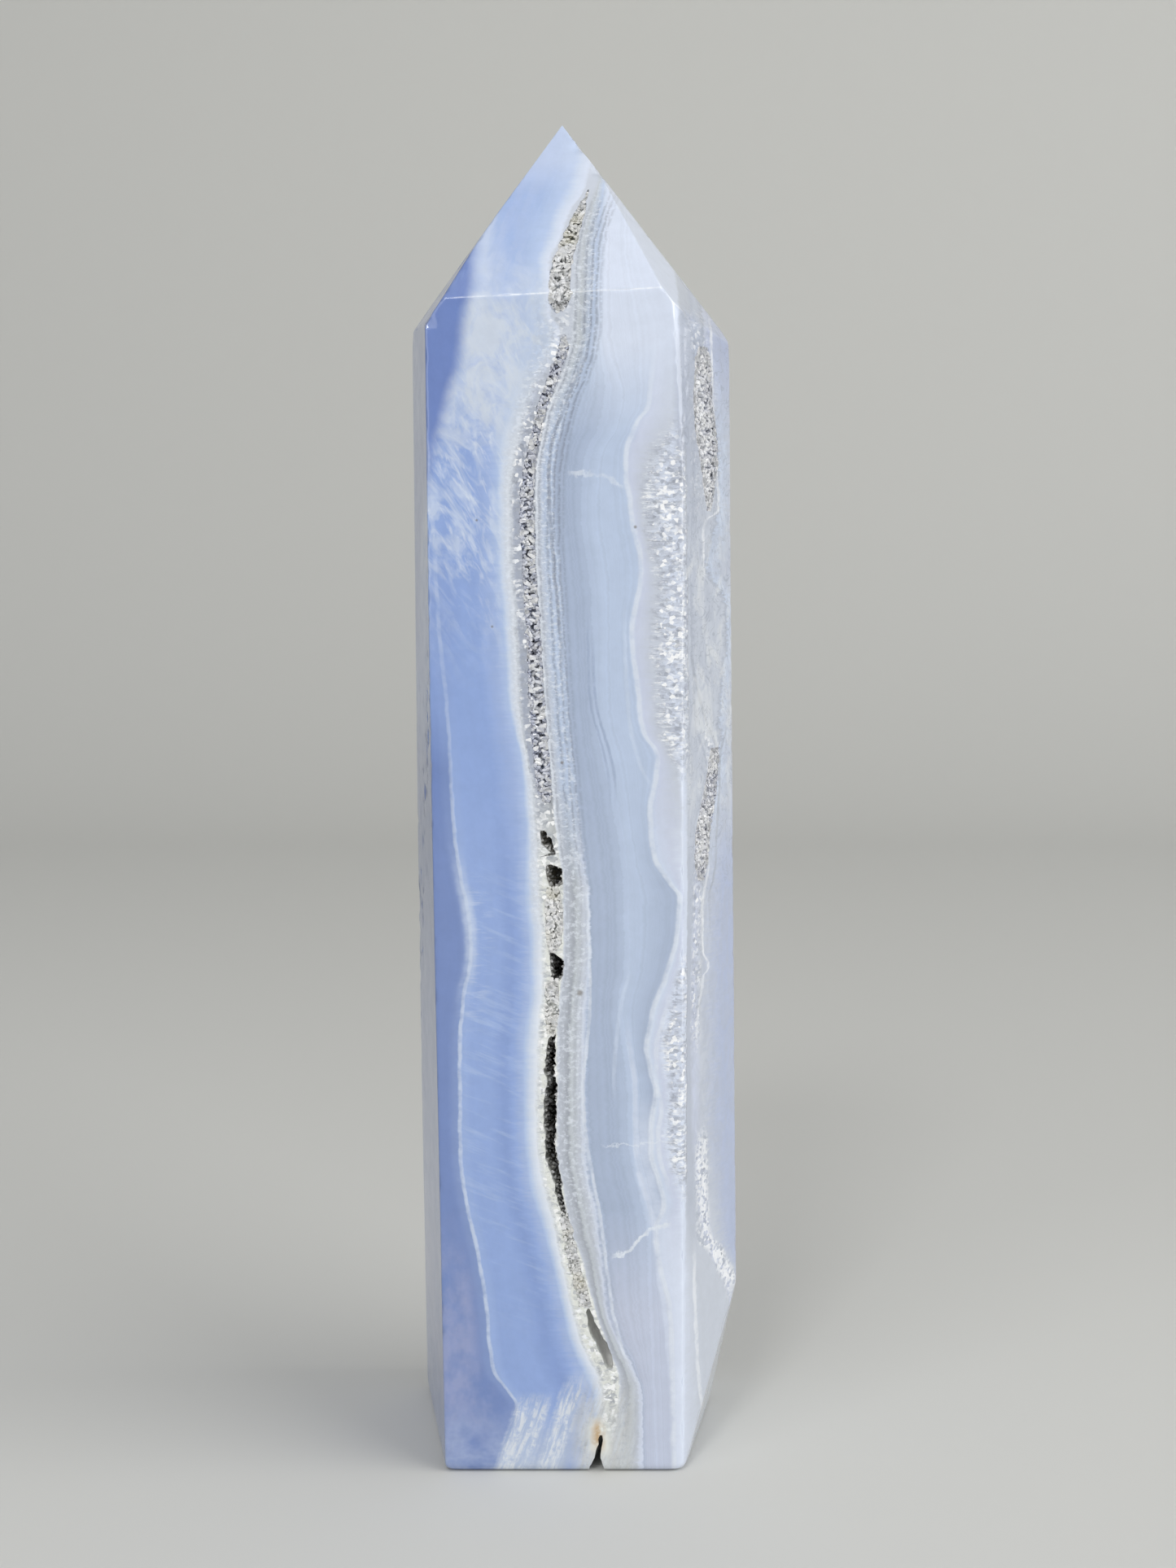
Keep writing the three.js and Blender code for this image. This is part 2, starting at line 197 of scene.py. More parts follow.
SIDES = [
    # heading, lean, reach, the height that the reach is measured at
    (-90, 0.38, 12.0, 0),
    (-30, 0.35, 13.48, 0),
    (13.4, 0.9, 12.26, 0),
    (84.8, 0.5, 11.2, 0),
    (139.4, 0.4, 14.5, 0),
    (-172, -0.81, 11.45, 0),
]
# narrow flats that break some of the corners
EASES = [
    (-172.6, -0.29, 11.9, 0),
    (-45, 3.1, 13.47, 90),
    (-10, -13.6, 10.64, 0),
    (-169.8, 33.4, 11.75, 90),
    (-21.8, 36.7, 11.39, 90),
]
# heading and lean of the facets that meet at the tip
POINT = [(-92.2, 38.3), (-7.4, 38.0), (82, 39.0), (140, 38.0), (-171.6, 36.35)]


def reach_at(facet, height):
    """How far a facet is from the Z axis at a height."""
    _, lean, reach, level = facet
    return reach - math.tan(math.radians(lean)) * (height - level)


def plane_of(facet):
    """A facet's outward normal, and its distance from the origin along that normal."""
    heading, lean, reach, level = facet
    turn, tilt = math.radians(heading), math.radians(lean)
    level_way = Vector((math.cos(turn), math.sin(turn), 0))
    normal = level_way * math.cos(tilt) + Vector((0, 0, math.sin(tilt)))
    return normal, normal.dot(level_way * reach + Vector((0, 0, level)) + MIDDLE)


facets = SIDES + EASES
for heading, lean in POINT:
    turn = math.radians(heading)
    facets.append((heading, lean, TIP.x * math.cos(turn) + TIP.y * math.sin(turn), HEIGHT))
# the small bevel round the base
facets += [(side[0], -45, reach_at(side, BASE_BEVEL), BASE_BEVEL) for side in SIDES]
planes = [plane_of(facet) for facet in facets]
planes.append((Vector((0, 0, -1)), 0.0))
print("planes:", len(planes))

# %% Cut the block
BLOCK_WIDTH = 40.0
BLOCK_HEIGHT = 160.0
BLOCK_BOTTOM = -10.0
SAME_PLACE = 1e-6

block = bmesh.new()
bmesh.ops.create_cube(block, size=BLOCK_WIDTH)
bmesh.ops.scale(block, vec=(1, 1, BLOCK_HEIGHT / BLOCK_WIDTH), verts=block.verts)
bmesh.ops.translate(block, vec=(0, 0, BLOCK_HEIGHT / 2 + BLOCK_BOTTOM), verts=block.verts)
facet_of = block.faces.layers.int.new("facet")
for number, (normal, distance) in enumerate(planes):
    everything = block.verts[:] + block.edges[:] + block.faces[:]
    cut = bmesh.ops.bisect_plane(
        block, geom=everything, plane_co=normal * distance, plane_no=normal, clear_outer=True,
        dist=SAME_PLACE,
    )
    rim = [g for g in cut["geom_cut"] if isinstance(g, bmesh.types.BMEdge)]
    for face in bmesh.ops.edgeloop_fill(block, edges=rim)["faces"]:
        face[facet_of] = number
bmesh.ops.recalc_face_normals(block, faces=block.faces)
print("ground block:", len(block.faces), "facets,", len(block.verts), "corners")

# %% [markdown]
# ## Rounding the edges
#
# Polishing takes the sharpness off every edge and leaves small chips in the weak places. A bevel
# would do on a regular solid, but here facets meet at slivers where a bevel folds over. So each
# facet first gets lines close to its edges and a grid over the rest, and then every point moves
# onto a smooth blend of the planes: far from an edge it stays put, near one it sinks a little.

# %% Lines beside the edges, and a grid
EDGE_LINES = (0.06, 0.14, 0.26, 0.45)
EDGE_ANGLE = 3.0
FINE_FROM = 88
ROW, FINE_ROW = 0.5, 0.3
COLUMN = 1.25
SAME_LINE = 1e-5
SAME_POINT = 1e-4

sharp = [e for e in block.edges if math.degrees(e.calc_face_angle(0)) > EDGE_ANGLE]
edge_runs = []
for edge in sharp:
    along = (edge.verts[1].co - edge.verts[0].co).normalized()
    for face in edge.link_faces:
        inward = face.normal.cross(along)
        if inward.dot(face.calc_center_median() - edge.verts[0].co) < 0:
            inward = -inward
        edge_runs.append((face[facet_of], edge.verts[0].co.copy(), inward.copy()))
for number, start, inward in edge_runs:
    for distance in EDGE_LINES:
        faces = [f for f in block.faces if f[facet_of] == number]
        geom = list({v for f in faces for v in f.verts} | {e for f in faces for e in f.edges}) + faces
        bmesh.ops.bisect_plane(
            block, geom=geom, plane_co=start + inward * distance, plane_no=inward, dist=SAME_LINE
        )

levels = [*np.arange(ROW / 2, FINE_FROM, ROW), *np.arange(FINE_FROM, HEIGHT, FINE_ROW)]
grid = [((0, 0, z), (0, 0, 1)) for z in levels]
grid += [((x, 0, 0), (1, 0, 0)) for x in np.arange(-12.5, 13, COLUMN)]
grid += [((0, y, 0), (0, 1, 0)) for y in np.arange(-11.2, 12, COLUMN)]
for place, way in grid:
    everything = block.verts[:] + block.edges[:] + block.faces[:]
    bmesh.ops.bisect_plane(block, geom=everything, plane_co=place, plane_no=way, dist=SAME_LINE)
bmesh.ops.remove_doubles(block, verts=block.verts, dist=SAME_POINT)
print("grid:", len(block.faces), "faces")

# %% Sink the points onto the blend
# the higher the sharpness, the smaller the radius
ROUND_EDGE = 18.0
ROUND_FOOT = 6.0
FOOT_TOP = 2.4
ROUND_TIP = 80.0
TIP_START = 96.0
BLEND_PASSES = 3

normals = np.array([n for n, d in planes])
distances = np.array([d for n, d in planes])
points = np.array([v.co for v in block.verts])


def blend(points, sharpness):
    """How far points lie outside the blended planes, the way out, and how near an edge they are."""
    away = points @ normals.T - distances
    nearest = away.max(axis=1)
    shares = np.exp((away - nearest[:, None]) * sharpness[:, None])
    total = shares.sum(axis=1)
    way = (shares / total[:, None]) @ normals
    return nearest + np.log(total) / sharpness, way, np.log(total) / math.log(2)


lift = np.clip(points[:, 2] / FOOT_TOP, 0, 1)
sharpness = ROUND_FOOT + (ROUND_EDGE - ROUND_FOOT) * lift
rise = np.clip((points[:, 2] - TIP_START) / (HEIGHT - TIP_START), 0, 1)
sharpness += (ROUND_TIP - ROUND_EDGE) * rise
for turn in range(BLEND_PASSES):
    outside, way, _ = blend(points, sharpness)
    points -= way * (outside / (way**2).sum(axis=1))[:, None]
print("rounded:", [round(c, 2) for c in (*points.min(axis=0), *points.max(axis=0))])

# %% Small chips and waves
CHIP_DEPTH = 0.16
CHIP_SIZE = 0.9
CHIP_CONTRAST = 2.2
CHIP_START = 0.35
WAVE_DEPTH = 0.035
WAVE_LENGTH = 14.0
WAVE_PLACE = Vector((7, 3, 1))
CHIP_SLOPE = 0.35
CHIPS = [
    # the place and the size of those that can be seen singly
    ((0.3, -0.9, 104.2), 0.6),
    ((0.7, -1.6, 103.2), 0.8),
    ((2.1, -3.4, 101.0), 0.7),
    ((9.0, -10.2, 89.0), 0.9),
    ((-10.9, -11.3, 88.6), 0.6),
]

_, way, edginess = blend(points, sharpness)
chip_noise = np.array([noise.noise(Vector(p) / CHIP_SIZE) for p in points])
chips = CHIP_DEPTH * np.clip(edginess, 0, 1) * np.clip(chip_noise * CHIP_CONTRAST - CHIP_START, 0, 1)
chips *= (points[:, 2] > FOOT_TOP) & (points[:, 2] < HEIGHT - 1)
waves = np.array([noise.noise(Vector(p) / WAVE_LENGTH + WAVE_PLACE) for p in points])
waves = WAVE_DEPTH * (0.5 + 0.5 * waves) * (points[:, 2] > BASE_BEVEL)
points -= way * (chips + waves)[:, None]
for place, size in CHIPS:
    far = np.linalg.norm(points - np.array(place), axis=1)
    points -= way * (CHIP_SLOPE * np.clip(size - far, 0, None))[:, None]

for vert, point in zip(block.verts, points):
    vert.co = point
print("chipped points:", int((chips > 0).sum()))

# %% [markdown]
# ## Hollows
#
# Hollows opened where the ground face ran through cracks and crystal-lined pockets of the agate.
# Their edges are ragged, so a smooth cutter would look drilled. Each one is a stack of sections,
# a third of a millimetre apart, whose points are pushed about by noise, and all are cut out of
# the ground block by a Boolean. A station holds a height, the left and right edge across the
# facet, and the depth there. A hollow also has a drift, by how much its bottom lies to the right
# of its mouth for each millimetre of depth.

# %% The hollows' stations
FRONT, RIGHT = facets[0], facets[1]
POINT_FRONT = facets[len(SIDES) + len(EASES)]

HOLLOWS = {
    "tip_pocket": (POINT_FRONT, 0.0, [
        [(99.4, 1.4, 1.55, 0.25), (98.4, 0.95, 1.35, 0.5), (97.5, 0.45, 1.25, 0.8),
         (96.1, -0.1, 1.0, 0.9), (94.7, -0.6, 0.65, 1.0), (93.4, -1.1, 0.45, 1.1), (91, -1.3, 0.4, 1.2),
         (89.6, -1.25, 0.35, 1.3), (88.8, -0.95, -0.15, 1.35)],
    ]),
    "upper_seam": (FRONT, 0.12, [
        [(87.6, -0.75, -0.35, 0.5), (86.5, -1.05, -0.2, 1.0), (84.7, -1.7, -0.8, 1.25),
         (82.9, -2.4, -1.65, 1.3), (80.4, -3.0, -2.35, 1.3), (78.6, -3.45, -2.75, 1.3),
         (76.2, -3.85, -2.85, 1.3), (73.8, -3.95, -2.8, 1.2), (70.1, -3.7, -2.6, 1.2),
         (66.4, -3.5, -2.4, 1.2), (60.9, -3.3, -2.1, 1.2), (55.3, -2.9, -1.65, 1.1),
         (53.2, -2.6, -1.5, 0.7), (52.4, -2.2, -1.7, 0.3)],
    ]),
    "lower_fissure": (FRONT, 0.1, [
        [(50.3, -2.35, -1.9, 3.5), (49.8, -2.42, -1.65, 4.2), (49.3, -2.42, -1.45, 4.5),
         (48.8, -1.9, -1.3, 4.0), (48.45, -1.45, -1.2, 3.2)],
        [(47.7, -2.0, -1.55, 4.5), (47.4, -1.98, -0.9, 5.5), (46.9, -1.98, -0.78, 6),
         (46.2, -1.85, -0.72, 6), (45.9, -1.72, -1.1, 5.5), (45.5, -1.62, -1.4, 4.5)],
        [(41.0, -1.72, -1.4, 5), (40.6, -1.75, -0.85, 6.5), (40.1, -1.72, -0.6, 6.5),
         (39.3, -1.68, -0.65, 6.5), (38.8, -1.6, -0.9, 6), (38.5, -1.45, -1.2, 5)],
        [(34.9, -1.45, -1.3, 4), (34.1, -1.9, -1.3, 6.5), (32.7, -2.05, -1.32, 7.2),
         (31.8, -2.28, -1.3, 7.4), (31.0, -1.98, -1.22, 7.5), (29.5, -2.2, -1.2, 7.6),
         (27.5, -2.22, -1.25, 7.6), (25.8, -2.05, -1.3, 7.5), (24.8, -2.05, -1.1, 7.4),
         (23.2, -1.5, -0.85, 7), (21.7, -1.2, -0.65, 6), (20.2, -0.8, -0.4, 4)],
        [(16.7, 0.1, 0.35, 0.8), (16.2, 0.12, 0.55, 1.5), (15.7, 0.25, 0.5, 0.8)],
        [(13.1, 1.15, 1.35, 0.8), (12.2, 1.15, 1.7, 1.8), (11, 1.45, 2.3, 2.6), (10, 1.9, 2.85, 2.9),
         (9.1, 2.4, 3.2, 2.4), (8.3, 2.7, 3.1, 1.0)],
    ]),
    "right_pocket": (RIGHT, 0.0, [
        [(87.0, -3.0, -1.5, 0.3), (86.0, -3.7, -1.0, 0.6), (83.0, -4.0, -0.8, 0.8),
         (80.5, -3.7, 0.0, 0.8), (78.2, -2.8, 0.2, 0.8), (76.0, -2.2, -0.5, 0.7),
         (74.6, -1.7, -0.9, 0.3)],
    ]),
    "right_seam": (RIGHT, 0.0, [
        [(56.3, -1.2, 0.3, 0.3), (54.5, -1.7, 0.2, 0.6), (52.3, -2.7, -0.3, 0.7),
         (49.8, -3.8, -1.2, 0.7), (47.3, -3.9, -1.6, 0.6), (46.1, -3.3, -2.2, 0.3)],
    ]),
    "foot_crack": (FRONT, 0.15, [
        [(3.0, 2.15, 2.3, 1.2), (1.3, 1.75, 2.15, 3.5), (0.9, 1.5, 2.3, 4.5), (0.0, 1.2, 2.6, 6.0),
         (-1.0, 1.0, 2.9, 6.5)],
    ]),
}

# the crystals that fill the seam between its open stretches stand in shallow troughs of their own
TROUGHS = {
    "lower_fissure": (FRONT, 0.1, [
        [(45.95, -1.9, -1.0, 0.25), (44.8, -2.1, -0.75, 0.5), (43, -2.05, -0.7, 0.55),
         (41.6, -1.9, -0.8, 0.45), (40.9, -1.75, -1.2, 0.25)],
        [(38.7, -1.9, -1.0, 0.25), (37.5, -2.1, -1.0, 0.45), (36, -2.05, -1.05, 0.45),
         (34.6, -1.9, -1.2, 0.25)],
        [(20.6, -1.0, -0.3, 0.25), (19, -0.75, 0.1, 0.4), (17.2, -0.4, 0.5, 0.4), (15.4, 0.0, 1.0, 0.4),
         (13.2, 0.6, 1.5, 0.3)],
    ]),
}
print("hollows:", len(HOLLOWS))

# %% Cutters with ragged walls
STATION_STEP = 0.33
# half of a section: its share of the half width, at its share of the depth
SECTION = ((1, 0.12), (0.97, 0.35), (0.9, 0.6), (0.7, 0.82), (0.4, 0.95))
OVERCUT = 1.0
RAGGED_EDGE = 0.2
RAGGED_WALL = 0.22
RAGGED_SIZE = 0.55
RAGGED_FROM = 0.4
RIM_SIZE = 0.5
NARROWEST = 0.04


def place_on(facet, height, across, depth):
    """A point on a facet: its height, how far across it lies, and how deep under the surface."""
    turn = math.radians(facet[0])
    out = reach_at(facet, height) - depth
    return Vector((out * math.cos(turn) - across * math.sin(turn),
                   out * math.sin(turn) + across * math.cos(turn), height)) + MIDDLE


def ragged(point, salt):
    """A random push that is the same at the same place."""
    spot = Vector(point) / RAGGED_SIZE + Vector((salt, 0, 0))
    return Vector((noise.noise(spot), noise.noise(spot + Vector((0, 31, 0))),
                   noise.noise(spot + Vector((0, 0, 57)))))


def cutter(facet, drift, stations, salt):
    """Sections of one hollow, from its top down, as rings of points."""
    rows = np.array(stations)[::-1]
    steps = max(4, round((rows[-1, 0] - rows[0, 0]) / STATION_STEP))
    rings = []
    for height in np.linspace(rows[-1, 0], rows[0, 0], steps):
        left, right, depth = (np.interp(height, rows[:, 0], rows[:, i]) for i in (1, 2, 3))
        left += RAGGED_EDGE * noise.noise(Vector((height / RIM_SIZE, 3.1, salt)))
        right += RAGGED_EDGE * noise.noise(Vector((height / RIM_SIZE, 9.7, salt)))
        middle, half = (left + right) / 2, max((right - left) / 2, NARROWEST)
        wall = [(share, down * depth) for share, down in SECTION]
        ring = [(1, -OVERCUT), *wall, (0, depth), *[(-s, d) for s, d in reversed(wall)], (-1, -OVERCUT)]
        rings.append([])
        for share, down in ring:
            point = place_on(facet, height, middle + share * half + drift * max(down, 0), down)
            push = min(1, max(down, 0) / RAGGED_FROM) * min(RAGGED_WALL, half / 2)
            rings[-1].append(point + ragged(point, salt) * float(push))
    return rings


def add_cutter(mesh, rings):
    """Adds a closed tube through the rings, with a fan at each end."""
    made = [[mesh.verts.new(p) for p in ring] for ring in rings]
    for upper, lower in zip(made, made[1:]):
        for i in range(len(upper)):
            j = (i + 1) % len(upper)
            mesh.faces.new((upper[i], upper[j], lower[j], lower[i]))
    for ring, way in ((made[0], -1), (made[-1], 1)):
        middle = mesh.verts.new(sum((v.co for v in ring), Vector()) / len(ring))
        for i in range(len(ring)):
            j = (i + 1) % len(ring)
            mesh.faces.new((ring[i], ring[j], middle)[::way])


def cut_out(stone, tools):
    """Subtracts a bmesh of cutters from the stone's object."""
    bmesh.ops.recalc_face_normals(tools, faces=tools.faces)
    bmesh.ops.scale(tools, vec=(MM, MM, MM), verts=tools.verts)
    tool_mesh = bpy.data.meshes.new("cutters")
    tools.to_mesh(tool_mesh)
    tool = show("cutters", tool_mesh)
    boolean = stone.modifiers.new("hollow", "BOOLEAN")
    boolean.operation = "DIFFERENCE"
    boolean.object = tool
    boolean.solver = "MANIFOLD"
    bpy.context.view_layer.update()
    carved = bpy.data.meshes.new_from_object(stone.evaluated_get(bpy.context.evaluated_depsgraph_get()))
    stone.modifiers.remove(boolean)
    stone.data = carved
    bpy.data.objects.remove(tool)
    print("carved:", len(carved.polygons), "faces")


# %% Carve the block
TROUGH_SALT = 40  # keeps the troughs' ragged walls unlike those of the hollows
NEXT_SALT = 7

bmesh.ops.triangulate(block, faces=block.faces)
bmesh.ops.scale(block, vec=(MM, MM, MM), verts=block.verts)
stone_mesh = bpy.data.meshes.new("banded_stone")
block.to_mesh(stone_mesh)
block.free()
stone = show("banded_stone", stone_mesh)

walls = {}
for salt_start, kinds in ((0, HOLLOWS), (TROUGH_SALT, TROUGHS)):
    tools = bmesh.new()
    for number, (name, (facet, drift, openings)) in enumerate(kinds.items()):
        for part, stations in enumerate(openings):
            rings = cutter(facet, drift, stations, salt_start + NEXT_SALT * number + part)
            add_cutter(tools, rings)
            walls.setdefault(name, []).append((rings, salt_start > 0, stations[0][0]))
    cut_out(stone, tools)
    tools.free()

# %% [markdown]
# ## Worn edges and painted highlights
#
# Handling rubs the edges of a polished stone whitish, and a whitish line on them also stands in for
# the light that their rounding catches, as painted highlight. A material can't tell where an edge is,
# so every point of the mesh gets a number for how near an edge of the ground block it lies. It comes
# from the blend of planes that rounded the edges, and the walls of the hollows count as no edge.

# %% Mark the edges for wear and painted highlight
WALL_STARTS = -0.25

stone_points = np.empty(len(stone.data.vertices) * 3)
stone.data.vertices.foreach_get("co", stone_points)
stone_points = stone_points.reshape(-1, 3) / MM
outside, _, wear_and_highlight_mark = blend(stone_points, np.full(len(stone_points), ROUND_EDGE))
wear_and_highlight_mark[outside < WALL_STARTS] = 0
edge_mark = stone.data.attributes.new("wear_and_highlight_mark", "FLOAT", "POINT")
edge_mark.data.foreach_set("value", np.clip(wear_and_highlight_mark, 0, 1))
print("worn points:", int((wear_and_highlight_mark > 0.5).sum()))

# %% [markdown]
# ## Crystals
#
# Every wall of a hollow is covered with quartz points, about a third of a millimetre wide and up
# to a millimetre long. They could be placed one by one in code, but a shape that repeats over a
# surface is what Geometry Nodes are for: the tree scatters points over the wall, stands a
# six-sided crystal on each, leans and sizes it at random, and turns the lot into one mesh.

# %% The tree that grows crystals
DENSEST = 4.0e7  # per square metre, so that the spacing alone decides
SMALLEST, LARGEST = 0.55, 1.35
ROOT = 0.32  # how far a crystal's middle stands above the wall, in lengths


def grower(name):
    """A tree that grows crystals with their tips clear of the wall that it is given."""
    tree = bpy.data.node_groups.new(name, "GeometryNodeTree")
    face = tree.interface
    face.new_socket("Wall", in_out="INPUT", socket_type="NodeSocketGeometry")
    for label, default in (("Spacing", 0.3), ("Radius", 0.15), ("Length", 0.5), ("Lean", 0.5)):
        face.new_socket(label, in_out="INPUT", socket_type="NodeSocketFloat").default_value = default
    face.new_socket("Aim", in_out="INPUT", socket_type="NodeSocketVector")
    face.new_socket("Tip", in_out="INPUT", socket_type="NodeSocketVector")
    face.new_socket("Seed", in_out="INPUT", socket_type="NodeSocketInt")
    face.new_socket("Finish", in_out="INPUT", socket_type="NodeSocketMaterial")
    face.new_socket("Crystals", in_out="OUTPUT", socket_type="NodeSocketGeometry")
    given = tree.nodes.new("NodeGroupInput").outputs

    scatter = add(tree, "GeometryNodeDistributePointsOnFaces",
                  {"Mesh": given["Wall"], "Distance Min": given["Spacing"], "Density Max": DENSEST,
                   "Seed": given["Seed"]}, distribute_method="POISSON")
    aim = add(tree, "ShaderNodeVectorMath", {0: scatter.outputs["Normal"], 1: given["Aim"]},
              operation="ADD")
    stand = add(tree, "FunctionNodeAlignRotationToVector", {"Vector": aim}, axis="Z")
    low_turn = add(tree, "ShaderNodeCombineXYZ", {"Z": 0.0})
    lean_low = add(tree, "ShaderNodeMath", {0: given["Lean"], 1: -1.0}, operation="MULTIPLY")
    tree.links.new(lean_low.outputs[0], low_turn.inputs["X"])
    tree.links.new(lean_low.outputs[0], low_turn.inputs["Y"])
    high_turn = add(tree, "ShaderNodeCombineXYZ", {"X": given["Lean"], "Y": given["Lean"],
                                                   "Z": math.tau})
    turns = add(tree, "FunctionNodeRandomValue", {"Min": low_turn, "Max": high_turn,
                                                  "Seed": given["Seed"]}, data_type="FLOAT_VECTOR")
    as_turn = add(tree, "FunctionNodeEulerToRotation", {"Euler": turns})
    leaned = add(tree, "FunctionNodeRotateRotation", {"Rotation": stand, "Rotate By": as_turn},
                 rotation_space="LOCAL")

    bar = add(tree, "GeometryNodeMeshCylinder", {"Vertices": 6, "Side Segments": 2, "Radius": 1.0,
                                                 "Depth": 1.0})
    where = add(tree, "GeometryNodeInputPosition")
    pinched = add(tree, "ShaderNodeVectorMath", {0: where, 1: given["Tip"]}, operation="MULTIPLY")
    pointed = add(tree, "GeometryNodeSetPosition", {
        "Geometry": bar.outputs["Mesh"], "Selection": bar.outputs["Top"], "Position": pinched,
    })
    raised = add(tree, "GeometryNodeTransform", {"Geometry": pointed, "Translation": (0.0, 0.0, ROOT)})

    size = add(tree, "FunctionNodeRandomValue", {"Min": SMALLEST, "Max": LARGEST, "Seed": given["Seed"]},
               data_type="FLOAT")
    thick = add(tree, "ShaderNodeMath", {0: given["Radius"], 1: size}, operation="MULTIPLY")
    long = add(tree, "ShaderNodeMath", {0: given["Length"], 1: size}, operation="MULTIPLY")
    scale = add(tree, "ShaderNodeCombineXYZ", {"X": thick, "Y": thick, "Z": long})
    placed = add(tree, "GeometryNodeInstanceOnPoints", {
        "Points": scatter.outputs["Points"], "Instance": raised, "Rotation": leaned, "Scale": scale,
    })
    shade = add(tree, "FunctionNodeRandomValue", {"Min": 0.0, "Max": 1.0, "Seed": given["Seed"]},
                data_type="FLOAT")
    tinted = add(tree, "GeometryNodeStoreNamedAttribute", {
        "Geometry": placed, "Name": "tint", "Value": shade,
    }, data_type="FLOAT", domain="INSTANCE")
    real = add(tree, "GeometryNodeRealizeInstances", {"Geometry": tinted})
    dressed = add(tree, "GeometryNodeSetMaterial", {"Geometry": real, "Material": given["Finish"]})
    result = tree.nodes.new("NodeGroupOutput")
    tree.links.new(dressed.outputs[0], result.inputs[0])
    return tree


grow_crystals = grower("grow_crystals")
print("tree:", len(grow_crystals.nodes), "nodes")

# %% The walls of a hollow
BARE_BELOW = 14.0  # the lowest cavity is smooth inside
RIM = -0.12


def wall_mesh(name, openings, deep_only):
    """The walls of a hollow as a mesh whose faces look into the hollow."""
    walls_of = bmesh.new()
    for rings, shallow, height in openings:
        if shallow == deep_only or height < BARE_BELOW:
            continue
        add_cutter(walls_of, rings)
    bmesh.ops.recalc_face_normals(walls_of, faces=walls_of.faces)
    bmesh.ops.reverse_faces(walls_of, faces=walls_of.faces)
    middles = np.array([f.calc_center_median() for f in walls_of.faces])
    depth, _, _ = blend(middles, np.full(len(middles), ROUND_EDGE))
    outer = [f for f, d in zip(walls_of.faces, depth) if d > RIM]
    bmesh.ops.delete(walls_of, geom=outer, context="FACES")
    bmesh.ops.scale(walls_of, vec=(MM, MM, MM), verts=walls_of.verts)
    mesh = bpy.data.meshes.new(name)
    walls_of.to_mesh(mesh)
    walls_of.free()
    return mesh


# %% Grow crystals on a wall
FLUSH = -0.025  # the highest that a crystal may stand, so that the polish has cut them all


def outward(facet):
    """The level way out of a facet."""
    turn = math.radians(facet[0])
    return Vector((math.cos(turn), math.sin(turn), 0))


def grow(name, facet, deep_only, spacing, radius, length, lean, aim, tip, seed, finish):
    """A mesh of crystals on the walls of a hollow, ground off flush with the stone."""
    wall = show("wall", wall_mesh("wall", walls[name], deep_only))
    growth = wall.modifiers.new("growth", "NODES")
    growth.node_group = grow_crystals
    asked = {"Spacing": spacing * MM, "Radius": radius * MM, "Length": length * MM, "Lean": lean,
             "Aim": outward(facet) * aim, "Tip": (tip, tip * 1.2, 1.0), "Seed": seed, "Finish": finish}
    for socket in grow_crystals.interface.items_tree:
        if socket.name in asked:
            growth[socket.identifier] = asked[socket.name]
    bpy.context.view_layer.update()
    mesh = bpy.data.meshes.new_from_object(wall.evaluated_get(bpy.context.evaluated_depsgraph_get()))
    bpy.data.objects.remove(wall)
    at = np.empty(len(mesh.vertices) * 3)
    mesh.vertices.foreach_get("co", at)
    at = at.reshape(-1, 3) / MM
    proud, way, _ = blend(at, np.full(len(at), ROUND_EDGE))
    at -= way * (np.clip(proud - FLUSH, 0, None) / (way**2).sum(axis=1))[:, None]
    mesh.vertices.foreach_set("co", (at * MM).ravel())
    mesh.update()
    return mesh

# %% [markdown]
# ## The look of quartz crystals
#
# The crystals are milky quartz: clear enough for light to soak in and come out again, with flat
# shiny faces. True transmission would be slow on thousands of points half a millimetre long, and
# little of it would show, so a short subsurface glow stands in for it. Each crystal has a tint
# of its own, a few are painted nearly white as painted glints, and iron has stained some patches.
# To the eye it is a crust that glitters: small bright faces beside dull and shaded ones.

# %% Quartz material
# painted glints: the nearly white tint that the brightest few crystals are painted, and the tints it
# covers
GLINT_WHITE = "FAFCFF"
GLINT_FROM, GLINT_TO = 0.78, 0.82
STAINS_PER_METRE = 350.0  # stained patches are about three millimetres wide
QUARTZ_IOR = 1.54
GLOW_DEPTH = 0.001


def quartz_material(name, dark, light, stain, share):
    """Milky quartz from its dark to its light tint, with a share of stain in patches."""
    material = bpy.data.materials.new(name)
    material.use_nodes = True
    tree = material.node_tree
    surface = tree.nodes["Principled BSDF"]
    tint = add(tree, "ShaderNodeAttribute", attribute_name="tint", attribute_type="GEOMETRY")
    base = add(tree, "ShaderNodeMix", {"Factor": tint.outputs["Fac"], "A": linear(dark),
                                       "B": linear(light)}, data_type="RGBA")
    # painted glints: the brightest few crystals are painted nearly white
    clear = add(tree, "ShaderNodeMapRange", {"Value": tint.outputs["Fac"], "From Min": GLINT_FROM,
                                             "From Max": GLINT_TO})
    base = add(tree, "ShaderNodeMix", {"Factor": clear, "A": base, "B": linear(GLINT_WHITE)},
               data_type="RGBA")
    place = add(tree, "ShaderNodeTexCoord").outputs["Object"]
    patches = add(tree, "ShaderNodeTexNoise", {"Vector": place, "Scale": STAINS_PER_METRE, "Detail": 2.0})
    where = add(tree, "ShaderNodeMapRange", {"Value": patches.outputs["Fac"], "From Min": 0.56,
                                             "From Max": 0.7, "To Min": 0.0, "To Max": share})
    stained = add(tree, "ShaderNodeMix", {"Factor": where, "A": base, "B": linear(stain)},
                  data_type="RGBA")
    tree.links.new(next(o for o in stained.outputs if o.enabled), surface.inputs["Base Color"])
    surface.inputs["Roughness"].default_value = 0.12
    surface.inputs["IOR"].default_value = QUARTZ_IOR
    surface.inputs["Subsurface Weight"].default_value = 0.5
    surface.inputs["Subsurface Radius"].default_value = (0.9, 0.95, 1.0)
    surface.inputs["Subsurface Scale"].default_value = GLOW_DEPTH
    return material


